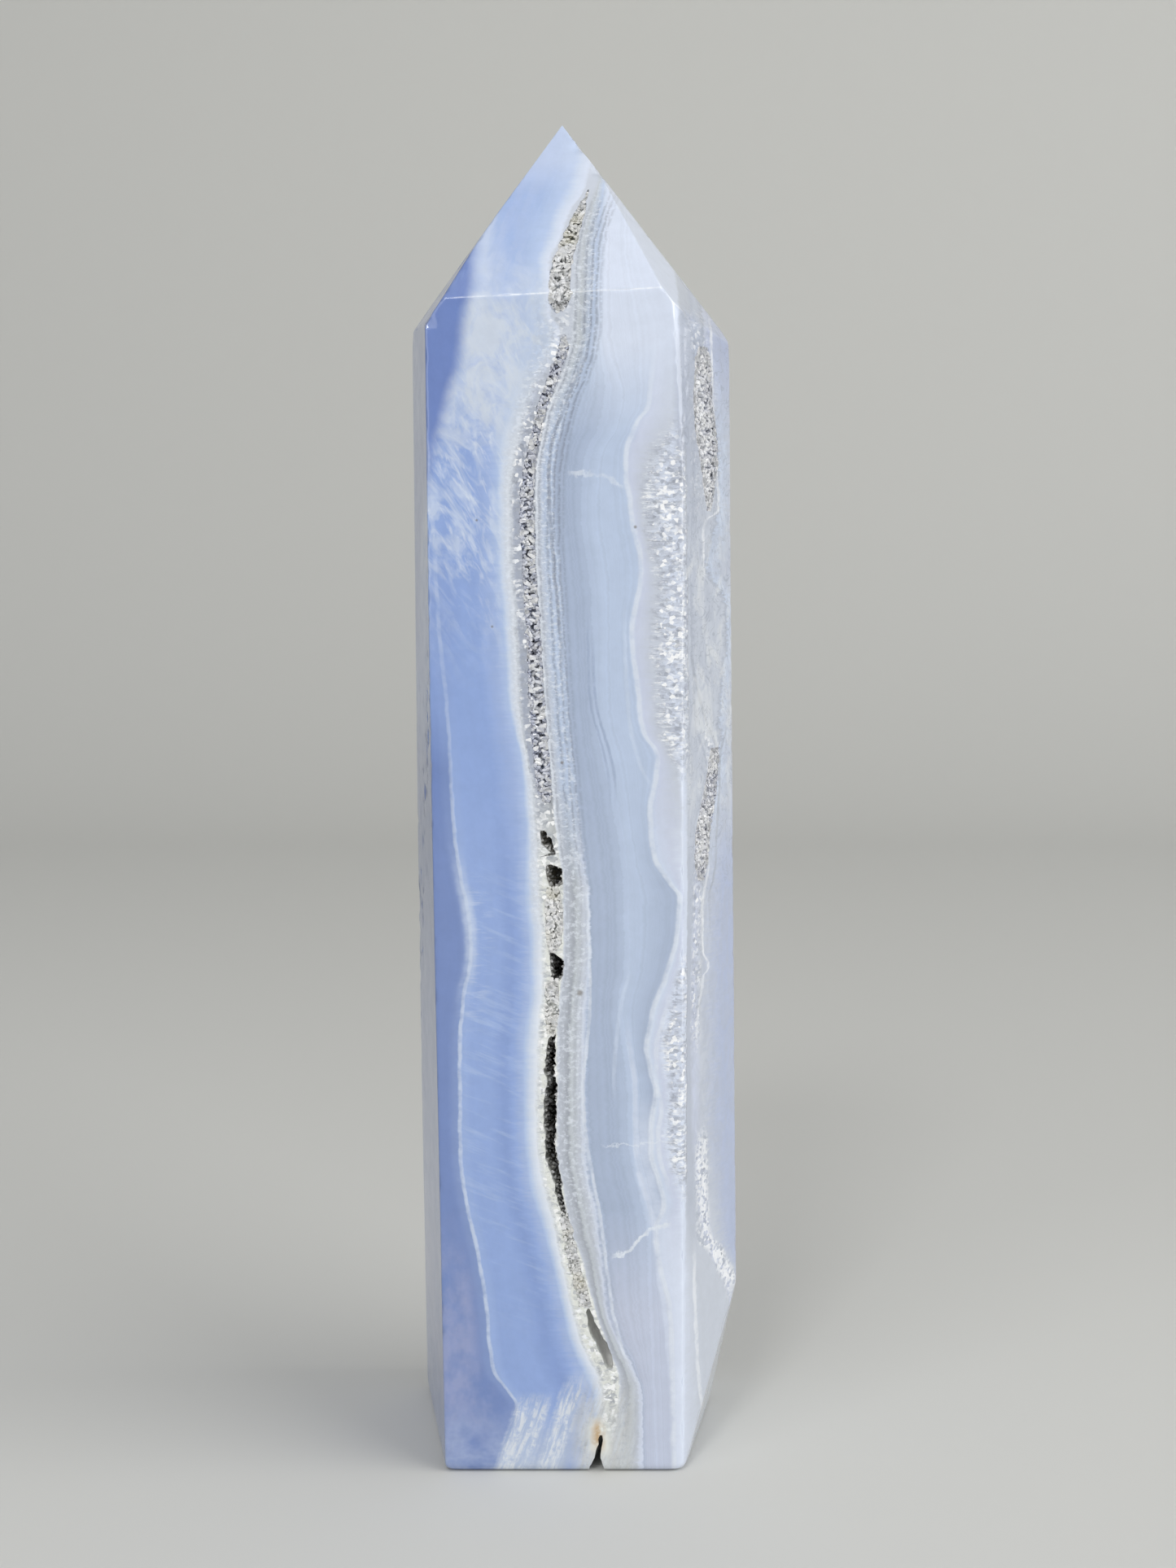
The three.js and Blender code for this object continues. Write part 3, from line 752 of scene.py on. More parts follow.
grey_quartz = quartz_material("grey_quartz_points", "B4BCD4", "F4F7FF", "AFAEC2", 0.35)
white_quartz = quartz_material("milky_quartz_points", "D8DCE8", "FFFFFF", "C4C8D8", 0.35)
cream_quartz = quartz_material("cream_quartz_points", "E3E5E4", "FFFFFE", "DDD5A8", 0.3)
print("quartz:", grey_quartz.name, white_quartz.name, cream_quartz.name)

# %% [markdown]
# ## A crust in every hollow
#
# Each crust has its own crystals: long, pale ones lean out of the open pockets, and short ones
# keep the deep fissure's black openings free. Where the seam is closed, coarser cream crystals
# fill its troughs. Every crust takes the place of one node of the solids.

# %% Grow the crusts
CRUSTS = [
    # name, spacing, radius, length, lean, aim, tip, seed, finish
    ("tip_pocket", 0.19, 0.16, 1.0, 0.6, 1.8, 0.55, 3, cream_quartz),
    ("upper_seam", 0.17, 0.15, 0.8, 0.6, 1.7, 0.5, 4, grey_quartz),
    ("lower_fissure", 0.42, 0.11, 0.24, 0.6, 0.5, 0.3, 5, cream_quartz),
    ("right_pocket", 0.19, 0.17, 1.0, 0.45, 2.2, 0.6, 6, white_quartz),
    ("right_seam", 0.19, 0.17, 0.9, 0.45, 2.2, 0.6, 7, white_quartz),
]
TROUGH_CRYSTALS = (0.22, 0.19, 0.6, 0.5, 1.6, 0.6)  # spacing to tip, as above
TROUGH_SEED = 20  # keeps their random draws apart from those of the deep walls

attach(stone, "root")
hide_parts("agate_tower")
for name, spacing, radius, length, lean, aim, tip, seed, finish in CRUSTS:
    facet = (HOLLOWS.get(name) or TROUGHS[name])[0]
    mesh = grow(name, facet, True, spacing, radius, length, lean, aim, tip, seed, finish)
    if name in TROUGHS:
        more = grow(name, facet, False, *TROUGH_CRYSTALS, seed + TROUGH_SEED, finish)
        joined = bmesh.new()
        joined.from_mesh(mesh)
        joined.from_mesh(more)
        joined.to_mesh(mesh)
        joined.free()
        bpy.data.meshes.remove(more)
    piece = show(name + "_quartz", mesh)
    print(piece.name, len(mesh.polygons), "faces")
    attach(piece, "root")
    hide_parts("crystals_" + name)

# %% [markdown]
# ## The bands of the agate
#
# Agate is built in layers, which stand here nearly upright and run from front to back. Where the
# polish cuts them they show as bands that wander with the height. One picture of a pattern would
# do for one side only, so the bands are solid: a handful of borders is written down as curves of
# place against height, and the material works out between which two borders a point lies. That
# number, the layer, picks the colour, and all fine lines follow it.

# %% The borders between the bands
BORDERS = {
    # from left to right, as height and place across
    "left_side": [(0, -13.8), (106, -13.8)],
    "thread": [
        (0, -5.85), (2.8, -5.0), (5.4, -4.3), (6.0, -4.6), (7.1, -5.42), (7.8, -6.0), (9.7, -6.35),
        (13.3, -6.65), (16.3, -7.1), (18.9, -7.6), (22.8, -8.4), (25.8, -8.62), (31, -8.65),
        (37.2, -8.36), (41, -7.72), (44.8, -8.08), (47, -8.57), (51.6, -9.08), (58.4, -9.38),
        (65.2, -10.03), (70.1, -10.3), (78.6, -10.8), (87.1, -11.9), (106, -12.6),
    ],
    "milk": [
        (0, 1.3), (3.3, 1.8), (6.4, 1.5), (7.7, 0.95), (10.1, -0.1), (13.3, -0.87), (17, -1.7),
        (20, -2.5), (22.5, -3.25), (25.1, -3.65), (27.7, -3.75), (32.7, -3.8), (35.3, -3.62),
        (37.8, -3.3), (41.2, -3.3), (45.4, -3.65), (50.4, -3.53), (52.8, -3.7), (55.3, -3.85),
        (57.8, -4.35), (60.3, -4.85), (62.7, -5.05), (66.4, -5.25), (70.1, -5.6), (73.8, -5.7),
        (78.6, -5.6), (81.7, -5.0), (84.7, -4.2), (88.3, -3.6), (94.8, -3.4), (98.9, -2.3),
        (101.8, -1.2), (106, -1),
    ],
    "seam_left": [
        (0, 1.7), (3.3, 2.6), (7.1, 2.55), (9.7, 1.3), (13.3, 0.2), (16.8, -0.52), (20, -1.08),
        (23.2, -1.83), (25.5, -2.21), (28.3, -2.33), (32.8, -2.2), (40.8, -1.9), (45.3, -2.15),
        (50.2, -2.45), (53.5, -2.7), (55.3, -3.1), (57.8, -3.5), (60.9, -3.74), (66.4, -3.95),
        (70.1, -4.25), (75, -4.3), (78.6, -3.88), (80.4, -3.45), (82.9, -2.83), (84.7, -2.15),
        (87.7, -0.9), (89.2, -1.68), (93.4, -1.71), (94.7, -1.11), (97.5, -0.2), (99.6, 0.93), (106, 2),
    ],
    "seam_right": [
        (0, 2.6), (3.3, 3.3), (7.1, 3.6), (9.7, 2.82), (13.3, 1.68), (16.8, 0.74), (20, -0.27),
        (23.2, -0.83), (25.5, -1.2), (32.8, -1.2), (36.6, -1.07), (40.8, -0.7), (45.3, -0.7),
        (50.2, -1.2), (55.3, -1.67), (60.9, -2.12), (66.4, -2.45), (72.5, -2.75), (77.4, -2.7),
        (79.8, -2.3), (82.3, -1.7), (84.4, -0.85), (87.7, 0.0), (92, 0.1), (94.7, 0.3), (97.5, 1.0),
        (99.6, 1.7), (106, 3),
    ],
    "grain_right": [
        (0, 5.5), (5.9, 5.48), (8.4, 4.72), (11, 3.33), (13.6, 2.57), (17.5, 2.19), (21.3, 1.74),
        (23.1, 1.24), (26.4, 0.99), (32.4, 0.9), (39.1, 1.18), (42.2, 1.3), (45.3, 1.18), (48.5, 0.81),
        (52.5, 0.44), (56.6, 0.01), (60.9, -0.3), (66.4, -0.67), (70.1, -0.91), (73.8, -1.27),
        (76.2, -1.39), (78.6, -1.21), (81.1, -0.59), (83.5, 0.33), (85.9, 1.1), (88.3, 1.5),
        (94.7, 1.9), (99.6, 2.4), (106, 3.6),
    ],
    "mist_right": [
        (0, 6.5), (13.6, 6.1), (19.7, 6.02), (22.3, 5.45), (26, 4.69), (31.3, 4.56), (36.6, 3.92),
        (39.7, 4.42), (45.3, 4.47), (51.6, 3.84), (55.3, 3.04), (60.3, 2.17), (65.2, 2.29),
        (70.1, 2.04), (73.8, 1.55), (76.2, 1.67), (78.6, 1.98), (81.1, 3.3), (83, 3.6), (85.9, 2.77),
        (88.3, 2.4), (94.7, 2.6), (101.8, 3.0), (106, 4.2),
    ],
    "ripple": [
        (0, 7.9), (8.4, 7.75), (13.8, 7.42), (15.8, 6.91), (18.2, 6.53), (19.4, 6.46), (21.3, 7.08),
        (22.8, 6.77), (24.4, 6.26), (26, 6.04), (28.1, 6.13), (30, 6.44), (31.8, 6.02), (33.4, 5.74),
        (35.5, 6.02), (37.1, 6.42), (38.6, 7.04), (40.2, 7.53), (41.8, 7.96), (43.3, 8.15), (45, 8.26),
        (45.9, 7.76), (46.9, 7.02), (48, 6.39), (49.5, 6.08), (51.6, 5.95), (55.8, 6.5), (57.8, 5.44),
        (60.9, 5.01), (65.2, 4.57), (70.1, 5.23), (73.8, 4.55), (75.6, 4.31), (77.4, 4.06),
        (79.2, 4.18), (80.4, 4.6), (81.4, 5.03), (82, 5.6), (84.1, 5.94), (87.1, 6.24), (91.3, 5.32),
        (94.7, 4.76), (106, 5),
    ],
    "comb_left": [
        (0, 8.7), (13.6, 8.62), (21.9, 8.46), (23.6, 8.02), (25, 7.39), (27.6, 7.26), (29.7, 7.5),
        (31.3, 7.25), (33.4, 6.86), (35.3, 7.11), (37.2, 7.6), (41, 8.45), (45, 8.64), (47.8, 8.3),
        (51.6, 8.24), (55.3, 7.74), (57.8, 6.74), (61.5, 6.36), (65.2, 6.11), (68.9, 6.34), (72.5, 5.6),
        (76.2, 5.35), (78.6, 5.95), (81.1, 7.29), (83.5, 7.65), (88.3, 7.6), (94.7, 7.0), (106, 7),
    ],
    "corner": [(0, 8.75), (39, 8.8), (51.5, 8.8), (80.5, 8.4), (85.3, 8.1), (106, 8.0)],
    "druse_left": [
        (0, 12.6), (11.4, 12.5), (13, 12.14), (14.7, 11.41), (17.9, 10.13), (21.5, 9.49), (26.1, 9.13),
        (37.9, 8.95), (45.1, 9.21), (50.1, 9.33), (52.2, 9.87), (55, 10.41), (57.6, 9.58), (62.7, 9.15),
        (70.1, 8.99), (78.7, 9.23), (88.5, 8.8), (106, 8.8),
    ],
    "druse_right": [
        (0, 13.2), (14, 12.79), (15.3, 12.13), (17.3, 11.4), (22.2, 10.67), (25.6, 10.24),
        (32.1, 10.08), (37.6, 9.92), (41.8, 9.97), (47.4, 10.3), (51.2, 10.56), (53.6, 11.25),
        (60, 11.51), (65, 12.05), (67.6, 11.9), (70.7, 10.21), (74.5, 11.17), (78.9, 11.15),
        (85.1, 10.57), (87.5, 10.15), (106, 10),
    ],
    "right_side": [(0, 14.2), (106, 14.2)],
}
print("borders:", len(BORDERS))

# %% The agate, and helpers for its curves and ramps
TALL = 106  # the height that all curves end at
REACH = 15
LAYERS = len(BORDERS) - 1

# banded blue agate, ground flat and polished: glassy, cool, with soft milky depth in its colours
agate = bpy.data.materials.new("banded_blue_agate")
agate.use_nodes = True
bands = agate.node_tree
gloss = bands.nodes["Principled BSDF"]


def bend(curve, course):
    """Gives a Float Curve node its points, from zero to one both ways."""
    line = curve.mapping.curves[0]
    for number, at in enumerate(course):
        if number < 2:
            line.points[number].location = at
        else:
            line.points.new(*at)
    for point in line.points:
        point.handle_type = "AUTO_CLAMPED"
    curve.mapping.update()


def ramped(share, stops):
    """A colour ramp; stops are (share, linear colour)."""
    ramp = add(bands, "ShaderNodeValToRGB", {"Fac": share})
    elements = ramp.color_ramp.elements
    for number, (at, colour) in enumerate(stops):
        made = elements[number] if number < 2 else elements.new(at)
        made.position, made.color = at, colour
    return ramp.outputs["Color"]


def levels_of(value, stops, whole):
    """A ramp of plain amounts; stops are (place, amount) along a whole length."""
    share = add(bands, "ShaderNodeMath", {0: value, 1: whole}, operation="DIVIDE")
    return ramped(share, [(at / whole, (amount, amount, amount, 1)) for at, amount in stops])


# %% Where a point lies in the stone
FRONT_FACE = 12
SHOULDER = 90.3
POINT_SLOPE = 0.79  # how far the point's front leans back for each millimetre of height
STRAIGHT_LEFT, STRAIGHT_RIGHT = 1, 7.5  # how deep the layers run straight back, on either side
DRIFT_FULL_FROM = 22
DRIFT_SCALE = 0.055
DRIFT = (18, 0, 24)
UNEVENNESS = 0.16

place = add(bands, "ShaderNodeTexCoord").outputs["Object"]
spot = add(bands, "ShaderNodeVectorMath", {0: place, "Scale": 1 / MM}, operation="SCALE")
axes = add(bands, "ShaderNodeSeparateXYZ", {0: spot})

# the front of the stone leans back above the shoulder, and depth is counted from there
above = add(bands, "ShaderNodeMath", {0: axes.outputs["Z"], 1: SHOULDER}, operation="SUBTRACT")
above = add(bands, "ShaderNodeMath", {0: above, 1: 0}, operation="MAXIMUM")
lean = add(bands, "ShaderNodeMath", {0: above, 1: -POINT_SLOPE, 2: FRONT_FACE}, operation="MULTIPLY_ADD")
depth = add(bands, "ShaderNodeMath", {0: axes.outputs["Y"], 1: lean}, operation="ADD")

# the layers run straight back at first and then wander, so that the back has its own pattern
start = add(bands, "ShaderNodeMapRange", {"Value": axes.outputs["X"], "From Min": -11.8, "From Max": -7,
                                           "To Min": STRAIGHT_LEFT, "To Max": STRAIGHT_RIGHT})
wander = add(bands, "ShaderNodeMapRange", {"Value": depth, "From Min": start,
                                           "From Max": DRIFT_FULL_FROM}, interpolation_type="SMOOTHSTEP")
drift = add(bands, "ShaderNodeTexNoise", {"Vector": spot, "Scale": DRIFT_SCALE, "Detail": 1})
drift = add(bands, "ShaderNodeVectorMath", {0: drift.outputs["Color"], 1: (0.5, 0.5, 0.5)},
            operation="SUBTRACT")
drift = add(bands, "ShaderNodeVectorMath", {0: drift, 1: DRIFT}, operation="MULTIPLY")
drift = add(bands, "ShaderNodeVectorMath", {0: drift, "Scale": wander}, operation="SCALE")

# a small unevenness in every layer
uneven = add(bands, "ShaderNodeTexNoise", {"Vector": spot, "Scale": 0.8, "Detail": 3, "Roughness": 0.6})
uneven = add(bands, "ShaderNodeMapRange", {"Value": uneven.outputs["Fac"], "To Min": -UNEVENNESS,
                                           "To Max": UNEVENNESS})
uneven = add(bands, "ShaderNodeCombineXYZ", {"X": uneven})
moved = add(bands, "ShaderNodeVectorMath", {0: spot, 1: drift}, operation="ADD")
moved = add(bands, "ShaderNodeVectorMath", {0: moved, 1: uneven}, operation="ADD")
moved = add(bands, "ShaderNodeSeparateXYZ", {0: moved})
side, height = moved.outputs["X"], moved.outputs["Z"]
print("place:", len(bands.nodes), "nodes")

# %% The layer of a point
height_share = add(bands, "ShaderNodeMath", {0: height, 1: TALL}, operation="DIVIDE")
border = {}
for name, course in BORDERS.items():
    curve = add(bands, "ShaderNodeFloatCurve", {"Value": height_share}, label=name)
    bend(curve, [(z / TALL, 0.5 + x / (2 * REACH)) for z, x in course])
    border[name] = add(bands, "ShaderNodeMath", {0: curve, 1: 2 * REACH, 2: -REACH},
                       operation="MULTIPLY_ADD")

# the layer counts the borders on the way from left to right, with a share for the band between
calm = None
names = list(BORDERS)
for left, right in zip(names, names[1:]):
    share = add(bands, "ShaderNodeMapRange", {"Value": side, "From Min": border[left],
                                              "From Max": border[right]})
    calm = share if calm is None else add(bands, "ShaderNodeMath", {0: calm, 1: share}, operation="ADD")

# the quartz fibres lie across the layers and fray some of their edges, so calm is the layer
# without them
FRAY = [(0, 0.02), (1, 0.01), (1.4, 0.04), (2, 0.06), (2.6, 0.07), (2.95, 0.06), (3.1, 0.04), (4, 0.03),
        (4.5, 0.08), (5, 0.05), (6.9, 0.02), (7.6, 0.15), (8.5, 0.3), (9, 0.05), (10, 0.12),
        (11.3, 0.12), (12, 0.02)]
across = add(bands, "ShaderNodeVectorMath", {0: spot, 1: (0.55, 0.55, 4.2)}, operation="MULTIPLY")
fibre = add(bands, "ShaderNodeTexNoise", {"Vector": across, "Scale": 1, "Detail": 3, "Roughness": 0.6})
fibre = add(bands, "ShaderNodeMapRange", {"Value": fibre.outputs["Fac"], "From Min": 0.25,
                                          "From Max": 0.75, "To Min": -1, "To Max": 1})
layer = add(bands, "ShaderNodeMath", {0: fibre, 1: levels_of(calm, FRAY, LAYERS), 2: calm},
            operation="MULTIPLY_ADD")
print("layers:", LAYERS)

# %% [markdown]
# ## Colours of the bands
#
# The stone's colours run from a deep chalcedony blue to the cream of its quartz. Each is named
# once, and three strips of them, for the foot, the middle and the top of the tower, are laid over
# the layers and blended by height. A colour stop is given as the number of the border it lies at,
# plus a share of the next band.

# %% Palette
INDIGO = "687FBA"
DEEP_BLUE = "7388BA"
BLUE = "859CCE"
SKY = "8FA6D6"
SOFT_BLUE = "9FB2DA"
HAZE_BLUE = "B0C2E1"
GREY_BLUE = "A6B3CA"
MIST = "B7C5DC"
MILK = "C8D3E5"
SNOW = "DDE3EC"
PEARL = "D2DAEA"
LILAC = "C6CDE0"
CREAM = "E0E2DC"
BEIGE = "BEC4CA"
ASH = "A3A8B1"
DUSK = "7D828F"
HEATHER = "B0BAD3"
CHALK = "C3C9D4"
FROST = "F2F4F7"
UMBER = "7A746B"
RUST = "B8925A"
DULL_LILAC = "A9ADCB"
PALE_BLUE = "B9C4DC"
ICE = "DAE2F1"
LAVENDER = "C6CBDC"
SLATE_BLUE = "8E9BB6"
POWDER_BLUE = "A8BBDD"
PEWTER = "A4ABBB"
SILVER = "AEB4C1"
DOVE = "B2BACB"
PALE_DOVE = "BCC4D4"
PIGEON = "A9B0BF"
DUSTY_BLUE = "B4BCD2"
DUSTY_HEATHER = "ACB6D0"
PALE_SLATE = "B4BECF"
LINEN = "D6DBE2"
FLINT = "A8A9A8"
SALT = "E6E7E4"
SHADE = "AAAFBD"
MOTTLE = "B2B8C6"
CLOUD = "DADDE0"
VEIN = "949AA8"
IVORY = "E8E4D8"
PAINTED_CAVITY_LIGHT = "F0F0EE"
WHITE = "FFFFFF"
PUFF = "CAD2DE"
HAZE = "CED6E1"
MID_BLUE = "7E94C7"
FAN_BLUE = "97AFDA"
PAINTED_EDGE_SHADE = "AEB5C4"
print("deep blue in linear light:", [round(c, 3) for c in linear(DEEP_BLUE)])

# %% Strips of colour over the layers
FOOT_STRIP = [
    (0, DEEP_BLUE), (0.97, DEEP_BLUE), (1.03, SKY), (1.5, SKY), (1.72, BLUE), (1.86, SKY),
    (1.95, SOFT_BLUE), (2.12, HAZE_BLUE), (2.35, MILK), (2.65, SNOW), (3, CREAM), (3.97, CREAM),
    (4.05, CHALK), (4.4, ASH), (4.5, BEIGE), (4.8, CHALK), (4.97, PEARL), (5.06, GREY_BLUE),
    (5.6, GREY_BLUE), (6, MIST), (6.9, GREY_BLUE), (7.15, MILK), (7.6, LILAC), (8, PEARL), (8.9, PEARL),
    (9.1, CHALK), (10, CHALK), (10.4, LILAC), (11, CHALK), (11.4, HEATHER), (12, HEATHER),
]
# in this strip the dusk at the seam's right edge is painted shade along its right wall
MIDDLE_STRIP = [
    (0, SKY), (1.6, SKY), (1.88, SOFT_BLUE), (2.05, HAZE_BLUE), (2.25, MILK), (2.62, SNOW),
    (2.84, CHALK), (2.98, PEWTER), (3.7, ASH), (3.88, DUSK), (3.96, DUSK), (4, SNOW), (4.12, CHALK),
    (4.5, MIST), (4.9, MIST), (5.06, GREY_BLUE), (5.5, GREY_BLUE), (6, MIST), (6.9, MIST), (7.2, LILAC),
    (8, CHALK), (8.6, PEARL), (9.1, CHALK), (9.9, CHALK), (10, SILVER), (10.12, CHALK), (10.9, CHALK),
    (11, SILVER), (11.08, MILK), (11.4, CHALK), (12, HEATHER),
]
TOP_STRIP = [
    (0, HAZE_BLUE), (1.4, HAZE_BLUE), (1.7, SOFT_BLUE), (2.1, POWDER_BLUE), (2.5, HAZE_BLUE),
    (2.75, MILK), (2.95, PEARL), (3.1, CHALK), (3.85, CHALK), (3.95, CHALK), (4.4, BEIGE), (5, MIST),
    (5.4, MILK), (6, PEARL), (7, PEARL), (8.8, PEARL), (9.1, CHALK), (10, CHALK), (10.2, DOVE),
    (10.5, PALE_DOVE), (10.9, PIGEON), (11, LILAC), (11.15, DUSTY_BLUE), (12, DUSTY_HEATHER),
]


def strip(stops):
    """A colour ramp over the layers."""
    return ramped(layer_share, [(at / LAYERS, linear(colour)) for at, colour in stops])


layer_share = add(bands, "ShaderNodeMath", {0: layer, 1: LAYERS}, operation="DIVIDE")
to_middle = add(bands, "ShaderNodeMapRange", {"Value": height, "From Min": 46, "From Max": 54})
to_top = add(bands, "ShaderNodeMapRange", {"Value": height, "From Min": 80, "From Max": 87})
colour = add(bands, "ShaderNodeMix", {
    "Factor": to_middle, "A": strip(FOOT_STRIP), "B": strip(MIDDLE_STRIP),
}, data_type="RGBA")
colour = add(bands, "ShaderNodeMix", {
    "Factor": to_top, "A": colour, "B": strip(TOP_STRIP),
}, data_type="RGBA")
print("bands:", len(bands.nodes), "nodes")

# %% [markdown]
# ## What lies over the bands
#
# Over the plain bands come the marks that make the stone this one: white wisps in the upper
# left, a deep blue wedge beside them, a white thread down the blue, a pale ripple on the right,
# slanting streaks at the foot and fine parallel lines. They could be painted on a picture, but
# only for one side, so each is an amount between nothing and one, worked out from the place in
# the stone, which lays its own colour over what is there. Places and fades are in millimetres,
# or in layers, and patterns are given in wiggles per millimetre.


# %% Helpers for marks
def span(value, start, end, soft):
    """One between start and end, fading to nothing over a soft length on either side."""
    rise = add(bands, "ShaderNodeMapRange", {"Value": value, "From Min": start - soft,
                                             "From Max": start + soft})
    fall = add(bands, "ShaderNodeMapRange", {"Value": value, "From Min": end + soft,
                                             "From Max": end - soft})
    return add(bands, "ShaderNodeMath", {0: rise, 1: fall}, operation="MULTIPLY")


def together(*amounts):
    """The product of several amounts."""
    product = amounts[0]
    for amount in amounts[1:]:
        product = add(bands, "ShaderNodeMath", {0: product, 1: amount}, operation="MULTIPLY")
    return product


def strongest(*amounts):
    """The largest of several amounts."""
    largest = amounts[0]
    for amount in amounts[1:]:
        largest = add(bands, "ShaderNodeMath", {0: largest, 1: amount}, operation="MAXIMUM")
    return largest


def lay(below, over, *amounts):
    """Lays a colour over another by the product of the amounts."""
    return add(bands, "ShaderNodeMix", {"Factor": together(*amounts), "A": below, "B": linear(over)},
               data_type="RGBA")


def beside(along, across, course):
    """How far a point lies beside a curved course, given as (along, across) places."""
    starts, offs = [p[0] for p in course], [p[1] for p in course]
    low, high = min(offs) - 0.5, max(offs) + 0.5
    share = add(bands, "ShaderNodeMapRange", {"Value": along, "From Min": starts[0],
                                              "From Max": starts[-1]})
    curve = add(bands, "ShaderNodeFloatCurve", {"Value": share})
    length = starts[-1] - starts[0]
    bend(curve, [((a - starts[0]) / length, (o - low) / (high - low)) for a, o in course])
    middle = add(bands, "ShaderNodeMath", {0: curve, 1: high - low, 2: low}, operation="MULTIPLY_ADD")
    return add(bands, "ShaderNodeMath", {0: across, 1: middle}, operation="SUBTRACT")


def thin(off, width):
    """One on a line, fading to nothing at its width to either side."""
    gap = add(bands, "ShaderNodeMath", {0: off}, operation="ABSOLUTE")
    return add(bands, "ShaderNodeMapRange", {"Value": gap, "From Min": 0.3 * width, "From Max": width,
                                            "To Min": 1, "To Max": 0}, interpolation_type="SMOOTHSTEP")


def stroke(along, across, course, width, fade):
    """A thin line along a course, which fades at both ends."""
    line = thin(beside(along, across, course), width)
    return together(line, span(along, course[0][0], course[-1][0], fade))


def speckle(scales, low, high, **settings):
    """Noise at so many wiggles per millimetre along each axis, stretched to run from zero to one."""
    there = add(bands, "ShaderNodeVectorMath", {0: spot, 1: scales}, operation="MULTIPLY")
    noise_of = add(bands, "ShaderNodeTexNoise", {"Vector": there, "Scale": 1, "Detail": 3,
                                                 "Roughness": 0.65, **settings})
    return add(bands, "ShaderNodeMapRange", {"Value": noise_of.outputs["Fac"], "From Min": low,
                                             "From Max": high})


def slanted(turn, along_scale, across_scale, low, high, **settings):
    """Noise in strokes that lie at an angle to the level, in degrees, seen from the front."""
    turned = add(bands, "ShaderNodeVectorRotate", {"Vector": spot, "Angle": math.radians(turn)},
                 rotation_type="Y_AXIS")
    there = add(bands, "ShaderNodeVectorMath", {0: turned, 1: (along_scale, 0.3, across_scale)},
                operation="MULTIPLY")
    noise_of = add(bands, "ShaderNodeTexNoise", {"Vector": there, "Scale": 1, "Detail": 3,
                                                 "Roughness": 0.6, **settings})
    return add(bands, "ShaderNodeMapRange", {"Value": noise_of.outputs["Fac"], "From Min": low,
                                             "From Max": high})


# marks that belong to the front fade out between these depths
near_front = add(bands, "ShaderNodeMapRange", {"Value": depth, "From Min": 2, "From Max": 6,
                                               "To Min": 1, "To Max": 0})

# %% Wisps, puffs and the deep blue wedge
WEDGE = [(70, -13), (77.4, -10.9), (79.2, -10.55), (81.1, -10.05), (83.5, -9.4), (85.6, -8.7),
         (86.9, -8.55), (89.5, -8.2), (91.3, -7.65), (94.8, -7.45), (96.5, -7), (106, -7)]
strands = slanted(-58, 0.3, 0.8, 0.45, 0.66, Distortion=1.3)
cloudy = span(height, 66, 92, 5)
colour = lay(colour, MILK, strands, cloudy, span(calm, 0, 2.2, 0.25), 0.7)
filaments = slanted(-62, 0.4, 1.9, 0.54, 0.7, Distortion=1.6)
colour = lay(colour, SNOW, filaments, span(height, 68, 90, 4), span(calm, 0, 2.4, 0.2), 0.45)
puffs = speckle((0.5, 0.5, 0.4), 0.4, 0.58, Detail=5, Distortion=1)
colour = lay(colour, PUFF, puffs, span(height, 80, 91, 2.2), span(calm, 0, 2.6, 0.3), 0.8)
colour = lay(colour, HAZE, span(height, 81, 92, 2), span(calm, 0.9, 2.7, 0.3), 0.35)
colour = lay(colour, MID_BLUE, span(side, -20, -9, 0.8), span(height, 57, 71, 3), 0.5)
wedge = beside(height, side, WEDGE)
wedge = add(bands, "ShaderNodeMapRange", {"Value": wedge, "From Min": 0.95, "From Max": -0.45},
            interpolation_type="SMOOTHSTEP")
colour = lay(colour, INDIGO, wedge, 0.95)
print("wisps:", len(bands.nodes), "nodes")

# %% Deeper blue below, and haze at the foot and in the point
deeper = span(height, -5, 57.5, 2.5)
colour = lay(colour, DEEP_BLUE, span(calm, -1, 1, 0.02), deeper)
colour = lay(colour, INDIGO, span(side, -18, -10.6, 0.6), deeper, 0.55)
veil = speckle((0.3, 0.3, 0.22), 0.4, 0.62, Detail=4)
colour = lay(colour, DULL_LILAC, veil, span(height, 3, 18, 3), span(calm, -1, 0.86, 0.08), 0.48)
colour = lay(colour, MILK, span(side, -7.3, -5.6, 0.7), span(height, 91, 99, 1.5), near_front, 0.6)
colour = lay(colour, LAVENDER, span(height, -5, 17, 4), span(layer, 5, 9, 0.3), 0.7)
colour = lay(colour, ICE, span(height, -5, 18.5, 3), span(layer, 7.1, 9, 0.35), 0.8)
foot_haze = speckle((0.4, 0.4, 0.6), 0.3, 0.7)
colour = lay(colour, PALE_BLUE, foot_haze, span(height, -4, 3.5, 2.5), span(calm, -1, 2, 0.2), 0.6)
fans = slanted(71, 0.12, 1.1, 0.46, 0.66)
colour = lay(colour, FAN_BLUE, fans, span(height, 92, 101, 1.5), span(calm, 0.5, 2.1, 0.3),
             near_front, 0.55)
colour = lay(colour, PEARL, span(height, 100.5, 112, 1.5), near_front, 0.4)
print("haze:", len(bands.nodes), "nodes")

# %% Needles in the blue, and the white thread
THREAD = 0.22
THREAD_GLOW = 1
THREAD_FOG = 0.7
THREAD_REACH = [(0, 0), (5, 0), (6, 0.85), (30, 0.8), (38, 0.75), (50, 0.6), (56, 0.35), (76, 0.25),
                (106, 0)]

